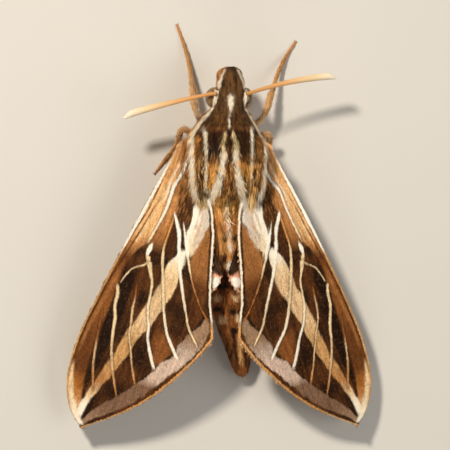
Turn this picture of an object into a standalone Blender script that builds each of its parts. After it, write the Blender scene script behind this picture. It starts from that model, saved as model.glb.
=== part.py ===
"""A white-lined sphinx, a hawk moth, at rest on a level floor, life size.

The head points along -Y, the moth's left side is +X and the feet stand on z = 0.  The trunk is one
smooth body of named stations, parted into head, collar, thorax and abdomen lengths by thin cuts.
Lengths below are in millimetres, and MM turns them into metres.  A station "back" is the distance
behind the front of the head.
"""

import math
from dataclasses import dataclass

import bmesh
import bpy
import numpy as np

MM = 0.001
GAP = 0.24

# Trunk, from the face to the tail: (back, half width, half height, height of the centre).
TRUNK = (
    (0.1, 0.62, 0.85, 6.20),
    (0.8, 1.25, 1.50, 6.10),
    (2.0, 1.75, 2.05, 6.00),
    (3.6, 2.02, 2.30, 6.00),
    (4.8, 2.12, 2.45, 6.10),
    (6.0, 2.85, 2.95, 6.25),
    (7.4, 3.80, 3.70, 6.40),
    (8.8, 4.50, 4.20, 6.52),
    (11.0, 4.75, 4.50, 6.60),
    (13.4, 4.60, 4.40, 6.50),
    (15.5, 3.90, 3.85, 6.20),
    (17.0, 3.58, 3.05, 5.75),
    (20.0, 3.52, 3.00, 5.35),
    (25.0, 3.28, 2.85, 4.45),
    (29.0, 3.15, 2.50, 3.70),
    (32.7, 2.50, 1.98, 2.95),
    (35.5, 1.70, 1.42, 2.25),
    (37.6, 1.05, 0.90, 1.75),
    (38.5, 0.60, 0.50, 1.55),
)
TRUNK_SQUARENESS = 2.15
HEAD_END, COLLAR_END, THORAX_END = 5.45, 8.0, 16.95
ABDOMEN_CUTS = (16.95, 20.4, 23.9, 27.4, 30.9, 34.2, 38.5)
THORAX_OFFSET, HEAD_OFFSET, HEAD_TURN_END = 0.2, 0.75, 9.0
TAIL_BEND, TAIL_BEND_START, TAIL_BEND_SOFTNESS = 0.145, 18.0, 1.5

EYE_RADIUS, EYE_BACK, EYE_OUT, EYE_HEIGHT = 1.27, 3.95, 1.74, 5.95
PALP_SIZE, PALP_OUT, PALP_BACK, PALP_HEIGHT, PALP_LEAN = (0.62, 0.85, 1.55), 0.98, 1.15, 4.85, 24.0
TONGUE_RADIUS, TONGUE_WIRE, TONGUE_BACK, TONGUE_HEIGHT = 0.62, 0.27, 1.35, 3.35

# Feelers: base beside the eye, then a bowed shaft that thickens to a club and ends in a hook.
ANTENNA_BASE_OUT, ANTENNA_BACK, ANTENNA_HEIGHT, ANTENNA_DROP = 2.12, 3.45, 7.45, 1.1
ANTENNA_LENGTH = 11.3
ANTENNA_SWING = {"left": (11.0, 17.0), "right": (-19.0, -5.0)}
ANTENNA_RADII = ((0.0, 0.25), (0.15, 0.26), (0.6, 0.34), (0.85, 0.38), (0.95, 0.30), (1.0, 0.25))
ANTENNA_HOOK, ANTENNA_HOOK_START = 38.0, 0.9

TEGULA_START, TEGULA_END, TEGULA_ANGLE = 8.35, 16.3, 37.0
TEGULA_HALF_WIDTH, TEGULA_HALF_THICK, TEGULA_END_SHARE = 1.05, 0.36, 0.04

WING_THICK = 0.5
# Height of the folded wings: a low roof that falls outwards and towards the tips.
ROOF_TOP, ROOF_SLOPE, ROOF_CURVE, ROOF_FALL = 10.3, 0.22, 0.0056, 0.029
ROOT_DIP, ROOT_DIP_LENGTH = 1.4, 7.5


@dataclass(frozen=True)
class WingPlan:
    """A wing's plan: its axis from root to apex, and both edges as offsets from that axis."""

    root_out: float
    root_back: float
    sweep: float
    lead: tuple
    trail: tuple
    drop: float
    cells_along: int
    cells_across: int


FOREWING = WingPlan(
    root_out=5.75,
    root_back=9.9,
    sweep=18.9,
    lead=((0.0, 0.0), (3.5, -0.6), (8.7, -1.5), (14.8, -2.4), (20.5, -3.2), (26.5, -3.75), (31.0, -3.5),
          (33.4, -2.75), (35.3, -1.6), (36.7, 0.0)),
    trail=((0.0, 0.9), (2.2, 1.6), (4.6, 2.9), (5.7, 5.6), (7.3, 6.9), (10.9, 8.05), (14.4, 9.0),
           (16.9, 9.8), (18.7, 10.5), (20.4, 11.6), (23.4, 10.75), (26.0, 9.5), (28.7, 8.0), (31.2, 6.25),
           (33.5, 4.1), (35.5, 1.75), (36.7, 0.3)),
    drop=0.0,
    cells_along=26,
    cells_across=8,
)
HINDWING = WingPlan(
    root_out=4.4,
    root_back=14.9,
    sweep=26.0,
    lead=((0.0, -0.3), (5.0, -1.1), (12.0, -1.3), (17.0, -0.9), (20.3, 0.1)),
    trail=((0.0, 0.3), (2.0, 1.7), (5.0, 5.4), (7.1, 7.6), (8.6, 8.7), (9.5, 8.6), (10.3, 7.85),
           (12.0, 7.2), (16.9, 5.4), (19.4, 3.0), (20.3, 0.5)),
    drop=0.74,
    cells_along=14,
    cells_across=7,
)

# Legs: (out, back, height) at hip, knee, ankle, instep and toe; the toe's segment lies on the floor.
LEGS = {
    "foreleg_left":
        ((1.35, 7.6, 1.95), (2.95, 6.2, 3.2), (3.3, 2.4, 2.15), (3.95, -2.2, 0.45), (5.0, -5.3, 0.2)),
    "foreleg_right":
        ((-1.5, 7.8, 1.95), (-5.1, 6.9, 3.45), (-6.6, 3.2, 2.2), (-8.4, -1.0, 0.45), (-10.0, -3.3, 0.2)),
    "midleg_left":
        ((1.6, 10.6, 1.5), (4.75, 7.4, 3.6), (5.2, 9.9, 1.15), (6.3, 11.0, 0.35), (7.7, 13.2, 0.2)),
    "midleg_right":
        ((-1.8, 10.6, 1.5), (-6.15, 8.1, 3.8), (-6.5, 10.5, 1.15), (-7.4, 11.4, 0.35), (-8.8, 13.5, 0.2)),
    "hindleg_left":
        ((1.7, 14.2, 1.4), (5.3, 14.8, 3.4), (7.7, 20.6, 1.2), (8.7, 24.2, 0.35), (10.0, 29.0, 0.2)),
    "hindleg_right":
        ((-1.9, 14.2, 1.4), (-5.3, 14.8, 3.4), (-7.7, 20.6, 1.2), (-8.7, 24.2, 0.35), (-10.0, 29.0, 0.2)),
}
LEG_RADII = ((0.0, 0.50), (0.14, 0.58), (0.34, 0.44), (0.5, 0.42), (0.62, 0.29), (0.8, 0.27), (1.0, 0.25))

# How finely each body is divided: lengths round and along.
HEAD_SIDES, THORAX_SIDES, ABDOMEN_SIDES = 24, 28, 24
HEAD_RINGS, COLLAR_RINGS, THORAX_RINGS, ABDOMEN_RINGS, TAIL_RINGS = 8, 6, 11, 4, 6
EYE_ROUND, EYE_DOWN = 16, 9
SOCKET_ROUND, SOCKET_DOWN = 20, 11
PALP_ROUND, PALP_DOWN = 12, 6
TONGUE_SIDES = 16
ANTENNA_RINGS, ANTENNA_SIDES = 15, 8
TEGULA_RINGS, TEGULA_SIDES = 9, 14
LEG_RINGS, LEG_SIDES = 15, 8

# Colours as red, green, blue from 0 to 1 of linear light, then roughness.
FINISHES = {
    "head_hair": ((0.10, 0.055, 0.025), 0.85),
    "thorax_hair": ((0.16, 0.075, 0.03), 0.85),
    "abdomen_hair": ((0.30, 0.12, 0.03), 0.85),
    "wing_scales": ((0.17, 0.09, 0.04), 0.75),
    "hindwing_scales": ((0.45, 0.16, 0.09), 0.75),
    "limb": ((0.45, 0.26, 0.12), 0.7),
    "feeler": ((0.62, 0.32, 0.14), 0.6),
    "eye": ((0.07, 0.045, 0.02), 0.15),
    "tongue": ((0.12, 0.06, 0.03), 0.4),
}


def through(stations, position):
    """The value at a position of the smooth curve through (position, value) stations."""
    at, value = np.array(stations, float).T
    slope = np.diff(value) / np.diff(at)
    tangent = np.concatenate([slope[:1], (slope[1:] + slope[:-1]) / 2, slope[-1:]])
    turning = slope[1:] * slope[:-1] <= 0
    tangent[1:-1][turning] = 0.0
    i = int(np.clip(np.searchsorted(at, position) - 1, 0, len(slope) - 1))
    step = at[i + 1] - at[i]
    s = min(max((position - at[i]) / step, 0.0), 1.0)
    return float(
        value[i] * (1 + 2 * s) * (1 - s) ** 2
        + value[i + 1] * s * s * (3 - 2 * s)
        + step * s * (1 - s) * (tangent[i] * (1 - s) - tangent[i + 1] * s)
    )


def smooth_step(s):
    """0 to 1 with level ends, for s from 0 to 1."""
    s = min(max(s, 0.0), 1.0)
    return s * s * (3 - 2 * s)


def midline(back):
    """How far out the middle of the trunk lies: the head is turned and the abdomen bent to the right."""
    past = max(0.0, back - TAIL_BEND_START)
    tail = TAIL_BEND * past * past / (past + TAIL_BEND_SOFTNESS)
    head = HEAD_OFFSET * smooth_step((HEAD_TURN_END - back) / (HEAD_TURN_END - 2.0))
    return -THORAX_OFFSET - head - tail


def trunk_size(back):
    """Half width, half height and centre height of the trunk at a station."""
    return tuple(through([(row[0], row[k]) for row in TRUNK], back) for k in (1, 2, 3))


def trunk_point(back, angle, proud=0.0):
    """A point on the trunk's surface; the angle in radians is 0 at the left flank and 90 degrees on top."""
    half_width, half_height, height = trunk_size(back)
    power = 2 / TRUNK_SQUARENESS
    cos, sin = math.cos(angle), math.sin(angle)
    out = half_width * math.copysign(abs(cos) ** power, cos)
    up = half_height * math.copysign(abs(sin) ** power, sin)
    normal = np.array([cos / half_width, sin / half_height])
    normal *= proud / np.linalg.norm(normal)
    return np.array([midline(back) + out + normal[0], back, height + up + normal[1]])


def material(finish):
    """The finish as a Principled material, made once."""
    made = bpy.data.materials.get(finish)
    if made:
        return made
    made = bpy.data.materials.new(finish)
    made.use_nodes = True
    colour, roughness = FINISHES[finish]
    shader = made.node_tree.nodes["Principled BSDF"]
    shader.inputs["Base Color"].default_value = (*colour, 1.0)
    shader.inputs["Roughness"].default_value = roughness
    shader.inputs["Metallic"].default_value = 0.0
    return made


def add_piece(name, points, faces, finish, sharp=50.0):
    """An object from points in millimetres, with y measured back from the front of the head."""
    mesh = bpy.data.meshes.new(name)
    mesh.from_pydata([tuple(MM * c for c in p) for p in points], [], faces)
    edit = bmesh.new()
    edit.from_mesh(mesh)
    bmesh.ops.recalc_face_normals(edit, faces=edit.faces)
    edit.to_mesh(mesh)
    edit.free()
    mesh.shade_smooth()
    mesh.set_sharp_from_angle(angle=math.radians(sharp))
    mesh.materials.append(material(finish))
    piece = bpy.data.objects.new(name, mesh)
    bpy.context.scene.collection.objects.link(piece)
    return piece


def loft(name, rings, finish, sharp=50.0):
    """A closed body through rings of as many points each, with a fan over each end."""
    sides = len(rings[0])
    points = [p for ring in rings for p in ring]
    faces = []
    for r in range(len(rings) - 1):
        for k in range(sides):
            here, beside = r * sides + k, r * sides + (k + 1) % sides
            faces.append((here, beside, beside + sides, here + sides))
    for r in (0, len(rings) - 1):
        points.append(np.mean(rings[r], axis=0))
        for k in range(sides):
            faces.append((len(points) - 1, r * sides + k, r * sides + (k + 1) % sides))
    return add_piece(name, points, faces, finish, sharp)


def trunk_length(name, start, end, rings, sides, finish):
    """One length of the trunk between two cuts."""
    stations = np.linspace(start, end, rings)
    angles = np.arange(sides) * 2 * math.pi / sides
    return loft(name, [[trunk_point(back, a) for a in angles] for back in stations], finish)


def tube_rings(path, radii, sides):
    """Rings round a path, turned no more than the path turns."""
    path = np.array(path, float)
    ahead = np.gradient(path, axis=0)
    ahead /= np.linalg.norm(ahead, axis=1)[:, None]
    side = np.cross(ahead[0], (0.0, 0.0, 1.0))
    rings = []
    for centre, way, radius in zip(path, ahead, radii):
        side = side - way * side.dot(way)
        side /= np.linalg.norm(side)
        up = np.cross(side, way)
        turn = (np.arange(sides) + 0.5) * 2 * math.pi / sides
        rings.append([centre + radius * (math.cos(a) * side + math.sin(a) * up) for a in turn])
    return rings


def ellipsoid(name, centre, size, lean, finish, across, down):
    """A closed egg of half sizes (out, back, up), leaned forward by an angle in degrees."""
    c, s = math.cos(math.radians(lean)), math.sin(math.radians(lean))
    rings = []
    for polar in np.linspace(0, math.pi, down + 2)[1:-1]:
        ring = []
        for turn in np.arange(across) * 2 * math.pi / across:
            out = size[0] * math.sin(polar) * math.cos(turn)
            back = size[1] * math.sin(polar) * math.sin(turn)
            up = size[2] * math.cos(polar)
            ring.append(np.array(centre) + (out, back * c - up * s, back * s + up * c))
        rings.append(ring)
    return loft(name, rings, finish, sharp=80.0)


def cut_out(piece, centre, size, lean, name):
    """Cuts an egg-shaped socket out of a piece, larger than what sits in it by the gap."""
    wider = tuple(half + GAP for half in size)
    cutter = ellipsoid(name, centre, wider, lean, "limb", SOCKET_ROUND, SOCKET_DOWN)
    cutter.hide_render = True
    cutter.display_type = "WIRE"
    cut = piece.modifiers.new(name, "BOOLEAN")
    cut.operation = "DIFFERENCE"
    cut.object = cutter
    return cutter


def sides_of():
    """The two sides, as a name and the sign of X."""
    return (("left", 1.0), ("right", -1.0))


def build_head():
    """The head with its sockets, the eyes, the palps and the coiled tongue between them."""
    pieces = []
    head = trunk_length("head", TRUNK[0][0], HEAD_END - GAP / 2, HEAD_RINGS, HEAD_SIDES, "head_hair")
    pieces.append(head)
    for side, sign in sides_of():
        eye_at = (midline(EYE_BACK) + sign * EYE_OUT, EYE_BACK, EYE_HEIGHT)
        palp_at = (midline(PALP_BACK) + sign * PALP_OUT, PALP_BACK, PALP_HEIGHT)
        eye_size = (EYE_RADIUS,) * 3
        pieces.append(cut_out(head, eye_at, eye_size, 0.0, f"eye_socket_{side}"))
        pieces.append(cut_out(head, palp_at, PALP_SIZE, PALP_LEAN, f"palp_socket_{side}"))
        pieces.append(ellipsoid(f"eye_{side}", eye_at, eye_size, 0.0, "eye", EYE_ROUND, EYE_DOWN))
        palp = ellipsoid(f"palp_{side}", palp_at, PALP_SIZE, PALP_LEAN, "head_hair", PALP_ROUND, PALP_DOWN)
        pieces.append(palp)
    pieces.append(build_tongue())
    return pieces


def build_tongue():
    """The tongue, coiled flat between the palps, as a disc of its outer size."""
    rings = []
    turns = np.arange(TONGUE_SIDES) * 2 * math.pi / TONGUE_SIDES
    for out, radius in ((-1.0, 0.8), (-0.5, 1.0), (0.5, 1.0), (1.0, 0.8)):
        rings.append(
            [
                (
                    midline(TONGUE_BACK) + out * TONGUE_WIRE,
                    TONGUE_BACK + radius * TONGUE_RADIUS * math.cos(a),
                    TONGUE_HEIGHT + radius * TONGUE_RADIUS * math.sin(a),
                )
                for a in turns
            ]
        )
    return loft("tongue", rings, "tongue")


def build_antenna(side, sign):
    """A feeler: a bowed shaft, thickest near its end, with a short hook."""
    first, last = (math.radians(a) for a in ANTENNA_SWING[side])
    steps = ANTENNA_RINGS
    point = np.array([midline(ANTENNA_BACK) + sign * ANTENNA_BASE_OUT, ANTENNA_BACK, ANTENNA_HEIGHT])
    path = [point]
    for share in (np.arange(steps) + 0.5) / steps:
        swing = first + (last - first) * share
        hooked = (share - ANTENNA_HOOK_START) / (1 - ANTENNA_HOOK_START)
        hook = math.radians(ANTENNA_HOOK) * smooth_step(hooked)
        way = (sign * math.cos(swing), math.sin(swing + hook), -ANTENNA_DROP / ANTENNA_LENGTH)
        point = point + ANTENNA_LENGTH / steps * np.array(way)
        path.append(point)
    radii = [through(ANTENNA_RADII, share) for share in np.linspace(0, 1, steps + 1)]
    return loft(f"antenna_{side}", tube_rings(path, radii, ANTENNA_SIDES), "feeler")


def build_tegula(side, sign):
    """The long pad of hair over a wing's root."""
    lie = math.radians(TEGULA_ANGLE)
    angle = lie if sign > 0 else math.pi - lie
    rings = []
    for share in np.linspace(TEGULA_END_SHARE, 1 - TEGULA_END_SHARE, TEGULA_RINGS):
        back = TEGULA_START + (TEGULA_END - TEGULA_START) * share
        base, centre = trunk_point(back, angle), trunk_point(back, angle, GAP + TEGULA_HALF_THICK)
        proud = (centre - base) / np.linalg.norm(centre - base)
        along = np.cross(proud, (0.0, 1.0, 0.0))
        full = math.sin(math.pi * share) ** 0.5
        rings.append(
            [
                centre + full * (TEGULA_HALF_WIDTH * math.cos(a) * along
                                 + TEGULA_HALF_THICK * math.sin(a) * proud)
                for a in np.arange(TEGULA_SIDES) * 2 * math.pi / TEGULA_SIDES
            ]
        )
    return loft(f"tegula_{side}", rings, "thorax_hair")


def roof_height(out, back, along):
    """Height of the forewing's middle surface; along is the distance from its root."""
    dip = ROOT_DIP * math.exp(-((along / ROOT_DIP_LENGTH) ** 2))
    return ROOF_TOP - ROOF_SLOPE * out - ROOF_CURVE * out * out - ROOF_FALL * back - dip


def wing_point(plan, sign, along, inward, lift):
    """A point of a wing from its place along and across the axis, lifted from its middle surface."""
    sweep = math.radians(plan.sweep)
    out = plan.root_out + along * math.sin(sweep) - inward * math.cos(sweep)
    back = plan.root_back + along * math.cos(sweep) + inward * math.sin(sweep)
    fore_sweep = math.radians(FOREWING.sweep)
    fore_out, fore_back = out - FOREWING.root_out, back - FOREWING.root_back
    fore_along = fore_out * math.sin(fore_sweep) + fore_back * math.cos(fore_sweep)
    return (sign * out, back, roof_height(out, back, fore_along) - plan.drop + lift)


def build_wing(name, plan, sign, finish):
    """A wing as a thin closed plate between its leading and trailing edges."""
    length = plan.lead[-1][0]
    share = np.linspace(0, 1, plan.cells_along + 1)
    stations = length * np.sin(share * math.pi / 2) ** 1.15
    points, faces = [], []
    across = plan.cells_across + 1
    for lift in (WING_THICK / 2, -WING_THICK / 2):
        for along in stations:
            lead, trail = through(plan.lead, along), through(plan.trail, along)
            for inward in np.linspace(lead, trail, across):
                points.append(wing_point(plan, sign, along, inward, lift))
    under = len(stations) * across
    for i in range(plan.cells_along):
        for k in range(plan.cells_across):
            a = i * across + k
            corners = (a, a + 1, a + across + 1, a + across)
            faces.append(corners)
            faces.append(tuple(c + under for c in reversed(corners)))
    rim = list(range(across))
    rim += [i * across + across - 1 for i in range(1, len(stations))]
    rim += [(len(stations) - 1) * across + k for k in range(across - 2, -1, -1)]
    rim += [i * across for i in range(len(stations) - 2, 0, -1)]
    for here, beside in zip(rim, rim[1:] + rim[:1]):
        faces.append((beside, here, here + under, beside + under))
    return add_piece(name, points, faces, finish, sharp=40.0)


def build_leg(name, joints):
    """A leg from hip to toe as one tapering limb, pressed flat where it lies on the floor."""
    joints = np.array(joints)
    lengths = np.concatenate([[0.0], np.cumsum(np.linalg.norm(np.diff(joints, axis=0), axis=1))])
    shares = lengths / lengths[-1]
    path = []
    for share in np.linspace(0, 1, LEG_RINGS):
        path.append([through(list(zip(shares, joints[:, k])), share) for k in range(3)])
    radii = [through(LEG_RADII, share) for share in np.linspace(0, 1, LEG_RINGS)]
    rings = [[(x, y, max(z, 0.0)) for x, y, z in ring] for ring in tube_rings(path, radii, LEG_SIDES)]
    return loft(name, rings, "limb")


def stand_on_origin(pieces):
    """Hangs every piece on an empty that puts the middle of the whole box over the origin."""
    shown = [piece for piece in pieces if not piece.hide_render]
    corners = np.array([tuple(v.co) for piece in shown for v in piece.data.vertices])
    middle = (corners.min(axis=0) + corners.max(axis=0)) / 2
    moth = bpy.data.objects.new("moth", None)
    bpy.context.scene.collection.objects.link(moth)
    moth.location = (-middle[0], -middle[1], 0.0)
    for piece in pieces:
        piece.parent = moth


def main():
    """Clears the scene and builds the moth."""
    for old in list(bpy.data.objects):
        bpy.data.objects.remove(old, do_unlink=True)
    pieces = build_head()
    lengths = (("collar", HEAD_END, COLLAR_END, COLLAR_RINGS, "head_hair"),
               ("thorax", COLLAR_END, THORAX_END, THORAX_RINGS, "thorax_hair"))
    for name, start, end, rings, finish in lengths:
        pieces.append(trunk_length(name, start + GAP / 2, end - GAP / 2, rings, THORAX_SIDES, finish))
    for number, (start, end) in enumerate(zip(ABDOMEN_CUTS, ABDOMEN_CUTS[1:]), start=1):
        last = end == ABDOMEN_CUTS[-1]
        rings = TAIL_RINGS if last else ABDOMEN_RINGS
        stop = end if last else end - GAP / 2
        name = f"abdomen_{number}"
        pieces.append(trunk_length(name, start + GAP / 2, stop, rings, ABDOMEN_SIDES, "abdomen_hair"))
    for side, sign in sides_of():
        pieces.append(build_antenna(side, sign))
        pieces.append(build_tegula(side, sign))
        pieces.append(build_wing(f"forewing_{side}", FOREWING, sign, "wing_scales"))
        pieces.append(build_wing(f"hindwing_{side}", HINDWING, sign, "hindwing_scales"))
    for name, joints in LEGS.items():
        pieces.append(build_leg(name, joints))
    stand_on_origin(pieces)


main()
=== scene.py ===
"""The looks of a life-size white-lined sphinx, a hawk moth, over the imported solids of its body.

Lengths are in millimetres, and MM turns them into metres. The moth faces -Y, its left side is +X and
the floor is z = 0. "Back" is the distance behind the front of the head. On a wing, "along" runs from
the root to the tip and "inward" from that axis towards the abdomen.
"""

import logging
import math
from dataclasses import dataclass, replace
from enum import Enum

import bpy
import numpy as np
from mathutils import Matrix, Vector
from mathutils.bvhtree import BVHTree


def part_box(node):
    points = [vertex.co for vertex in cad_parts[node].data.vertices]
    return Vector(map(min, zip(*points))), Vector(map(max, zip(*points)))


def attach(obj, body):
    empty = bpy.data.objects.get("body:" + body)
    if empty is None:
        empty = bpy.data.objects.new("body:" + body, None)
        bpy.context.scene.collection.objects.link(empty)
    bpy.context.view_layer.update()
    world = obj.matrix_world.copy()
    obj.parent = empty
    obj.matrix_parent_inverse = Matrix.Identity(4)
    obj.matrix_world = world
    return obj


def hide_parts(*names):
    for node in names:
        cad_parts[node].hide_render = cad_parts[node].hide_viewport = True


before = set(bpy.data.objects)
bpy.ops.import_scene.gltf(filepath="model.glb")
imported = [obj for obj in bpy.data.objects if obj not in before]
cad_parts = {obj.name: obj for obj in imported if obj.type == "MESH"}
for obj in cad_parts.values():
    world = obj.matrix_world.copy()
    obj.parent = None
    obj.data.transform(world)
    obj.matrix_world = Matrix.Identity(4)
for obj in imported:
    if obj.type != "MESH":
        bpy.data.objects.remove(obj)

MM = 0.001
HEAD_LEAD = 0.1  # how far the hair of the face stands before the solid head
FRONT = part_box("head")[0][1] / MM - HEAD_LEAD
TINT_LAYER = "Tint"
BAKE_MAP = "OFBake"
PATCH = 0.003  # how much of the unwrap a hair or scale takes up
FLOOR_GAP = 0.01  # the least height of a hair

Array = np.ndarray
Chance = np.random.Generator
Piece = bpy.types.Object
Socket = bpy.types.NodeSocket
Stations = tuple[tuple[float, float], ...]
Curve = float | Stations
log = logging.getLogger("moth")


class Side(Enum):
    """The moth's two sides, by their sign on X."""

    LEFT = 1.0
    RIGHT = -1.0

    def named(self, part: str) -> str:
        """The name of a part on this side."""
        return f"{part}_{self.name.lower()}"


class Tint(Enum):
    """The colours of the moth, as red, green and blue from 0 to 255."""

    SOOT = (34, 18, 8)
    UMBER = (49, 27, 12)
    SEPIA = (73, 42, 19)
    BARK = (82, 53, 26)
    WALNUT = (108, 62, 28)
    CHESTNUT = (134, 80, 38)
    SADDLE = (160, 104, 56)
    COPPER = (172, 106, 46)
    OCHRE = (178, 122, 60)
    TAN = (192, 132, 78)
    GOLD = (206, 146, 80)
    AMBER = (224, 168, 108)
    APRICOT = (236, 188, 130)
    HONEY = (200, 152, 96)
    BUFF = (226, 190, 144)
    CREAM = (238, 210, 164)
    IVORY = (253, 241, 219)
    MILK = (255, 248, 232)
    BLUSH = (212, 184, 164)
    ASH = (186, 162, 144)
    DUSK = (126, 94, 72)
    FAWN = (156, 124, 96)
    FRINGE = (214, 154, 90)
    ROSE = (214, 112, 92)
    SALMON = (236, 168, 136)
    FUR = (100, 69, 38)
    OLIVE = (146, 112, 64)
    HORN = (204, 152, 94)
    PALE_FLOOR = (216, 212, 205)

    @property
    def light(self) -> Array:
        """The colour in linear light."""
        share = np.array(self.value) / 255
        return np.where(share <= 0.04045, share / 12.92, ((share + 0.055) / 1.055) ** 2.4)


# The colours by their own names, in the order above.
(SOOT, UMBER, SEPIA, BARK, WALNUT, CHESTNUT, SADDLE, COPPER, OCHRE, TAN, GOLD, AMBER, APRICOT, HONEY,
 BUFF, CREAM, IVORY, MILK, BLUSH, ASH, DUSK, FAWN, FRINGE, ROSE, SALMON, FUR, OLIVE, HORN,
 PALE_FLOOR) = Tint
Stops = tuple[tuple[float, Tint], ...]


def ease(share: Array) -> Array:
    """0 to 1 with level ends, as share goes from 0 to 1."""
    share = np.clip(share, 0.0, 1.0)
    return share * share * (3 - 2 * share)


def through(curve: Curve, position: Array) -> Array:
    """The smooth curve through (position, value) stations, level beyond its ends.

    Args:
        curve: The stations in order of position, or one value for all.
        position: Where it is wanted.

    Returns:
        The value at each position.
    """
    if isinstance(curve, (int, float)):
        return np.full(np.shape(position), float(curve))
    at, value = np.array(curve, float).T
    slope = np.diff(value) / np.diff(at)
    tangent = np.concatenate([slope[:1], (slope[1:] + slope[:-1]) / 2, slope[-1:]])
    tangent[1:-1][slope[1:] * slope[:-1] <= 0] = 0.0
    i = np.clip(np.searchsorted(at, position) - 1, 0, len(slope) - 1)
    step = at[i + 1] - at[i]
    s = np.clip((position - at[i]) / step, 0.0, 1.0)
    ends = value[i] * (1 + 2 * s) * (1 - s) ** 2 + value[i + 1] * s * s * (3 - 2 * s)
    return ends + step * s * (1 - s) * (tangent[i] * (1 - s) - tangent[i + 1] * s)


def noise(first: Array, second: Array, seed: int, size: float = 1.0) -> Array:
    """Smooth noise from 0 to 1 over a plane.

    Args:
        first: One coordinate of each place.
        second: The other.
        seed: Picks one noise from another.
        size: How far apart the noise has its highs and lows.

    Returns:
        The noise at each place.
    """
    cell = np.stack([first, second], axis=1) / size
    base = np.floor(cell).astype(np.int64)
    part = ease(cell - base)
    total = np.zeros(len(cell))
    for corner in ((0, 0), (0, 1), (1, 0), (1, 1)):
        mixed = ((base + corner) * (73856093, 19349663)).sum(axis=1) + seed * 2654435761
        mixed = (mixed ^ (mixed >> 13)) * 1274126177 & 0xFFFFFFFF
        value = ((mixed ^ (mixed >> 16)) & 0xFFFF) / 0xFFFF
        total += value * np.prod(np.where(corner, part, 1 - part), axis=1)
    return total


def unit(vectors: Array) -> Array:
    """The vectors at length 1."""
    return vectors / np.maximum(np.linalg.norm(vectors, axis=-1, keepdims=True), 1e-12)


def paleness(colour: Array) -> Array:
    """0 for brown and tan to 1 for cream and white."""
    return ease(2.4 * colour[..., 2] - 0.5)


def capped(colour: Array) -> Array:
    """Dims a colour that passes full brightness in any channel, so that it keeps its hue."""
    return np.maximum(colour, 0.0) / np.maximum(colour.max(axis=-1, keepdims=True), 1.0)


def tint_along(stops: Tint | Stops, position: Array) -> Array:
    """The colour between named stops.

    Args:
        stops: (position, tint) in order of position, or one tint for all.
        position: Where the colour is wanted.

    Returns:
        One row of linear red, green and blue for each position.
    """
    if isinstance(stops, Tint):
        stops = ((0.0, stops),)
    at = [stop[0] for stop in stops]
    lights = np.array([stop[1].light for stop in stops])
    return np.stack([np.interp(position, at, lights[:, k]) for k in range(3)], axis=-1)


def tinted(colour: Array, tint: Tint, share: Array) -> Array:
    """The colours with a share of a tint mixed into each."""
    return colour + share[:, None] * (tint.light - colour)


def box_of(node: str) -> tuple[Array, Array]:
    """The low and the high corner of a node's box, in millimetres."""
    low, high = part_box(node)
    return np.array(low) / MM, np.array(high) / MM


def corner_towards(node: str, other: str) -> Array:
    """On each axis, the end of a node's box that is nearer to the middle of another's."""
    low, high = box_of(node)
    middle = np.mean(box_of(other), axis=0)
    return np.where(np.abs(low - middle) < np.abs(high - middle), low, high)


# ---- markings


@dataclass(frozen=True)
class Line:
    """A marking of some width along a curve.

    Attributes:
        path: The curve, as (along, across).
        width: Its full width, as (along, width) or one for all.
        tints: Its colour, as (along, tint) or one for all.
        soft: How far each edge fades.
        ends: How far the two ends fade.
        strength: How much of what lies under it is covered.
        ridge: How far it stands up from the surface, as a vein does; a ridged line gets painted shade along
            its sides.
        jag: How far the edges wander.
    """

    path: Stations
    width: Curve
    tints: Tint | Stops
    soft: float = 0.07
    ends: tuple[float, float] = (0.5, 0.5)
    strength: float = 1.0
    ridge: float = 0.0
    jag: float = 0.25

    def distance(self, along: Array, across: Array) -> Array:
        """How far each place is from the curve.

        Args:
            along: Places along.
            across: Places across.

        Returns:
            The distance square to the curve.
        """
        step = 0.2
        low = through(self.path, along - step)
        high = through(self.path, along + step)
        slope = (high - low) / (2 * step)
        return np.abs(across - through(self.path, along)) / np.sqrt(1 + slope * slope)

    def reach(self, along: Array) -> Array:
        """1 where the line runs, fading to 0 past its ends."""
        start = ease((along - self.path[0][0]) / self.ends[0] + 0.5)
        return start * ease((self.path[-1][0] - along) / self.ends[1] + 0.5)

    def wider(self, by: float) -> "Line":
        """The same line with more width."""
        if isinstance(self.width, (int, float)):
            return replace(self, width=self.width + by)
        return replace(self, width=tuple((along, width + by) for along, width in self.width))

    def cover(self, along: Array, across: Array, wander: Array) -> Array:
        """How much of each place the line covers.

        Args:
            along: Places along.
            across: Places across.
            wander: Small sideways shifts of the edges.

        Returns:
            From 0 for none to 1 for all.
        """
        away = self.distance(along, across) + self.jag * wander
        edge = ease((through(self.width, along) / 2 + self.soft - away) / (2 * self.soft))
        return edge * self.reach(along) * self.strength


@dataclass(frozen=True)
class Field:
    """A marking between two curves.

    Attributes:
        near: The edge of least across, as (along, across) or one for all.
        far: The edge of most across.
        tints: Its colour, as (along, tint) or one for all.
        start: Where it begins.
        stop: Where it ends.
        soft: As a line's, like ends, jag and strength.
    """

    near: Curve
    far: Curve
    tints: Tint | Stops
    start: float
    stop: float
    soft: float = 0.12
    ends: tuple[float, float] = (0.6, 0.6)
    jag: float = 1.0
    strength: float = 1.0

    def cover(self, along: Array, across: Array, wander: Array) -> Array:
        """How much of each place the field covers.

        Args:
            along: Places along.
            across: Places across.
            wander: Small shifts of the edges.

        Returns:
            From 0 for none to 1 for all.
        """
        inside = across - through(self.near, along) + self.jag * wander
        outside = through(self.far, along) - across + self.jag * wander
        edge = ease(inside / self.soft / 2 + 0.5) * ease(outside / self.soft / 2 + 0.5)
        begin = ease((along + self.jag * wander - self.start) / self.ends[0] + 0.5)
        end = ease((self.stop - along + self.jag * wander) / self.ends[1] + 0.5)
        return edge * begin * end * self.strength


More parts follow.
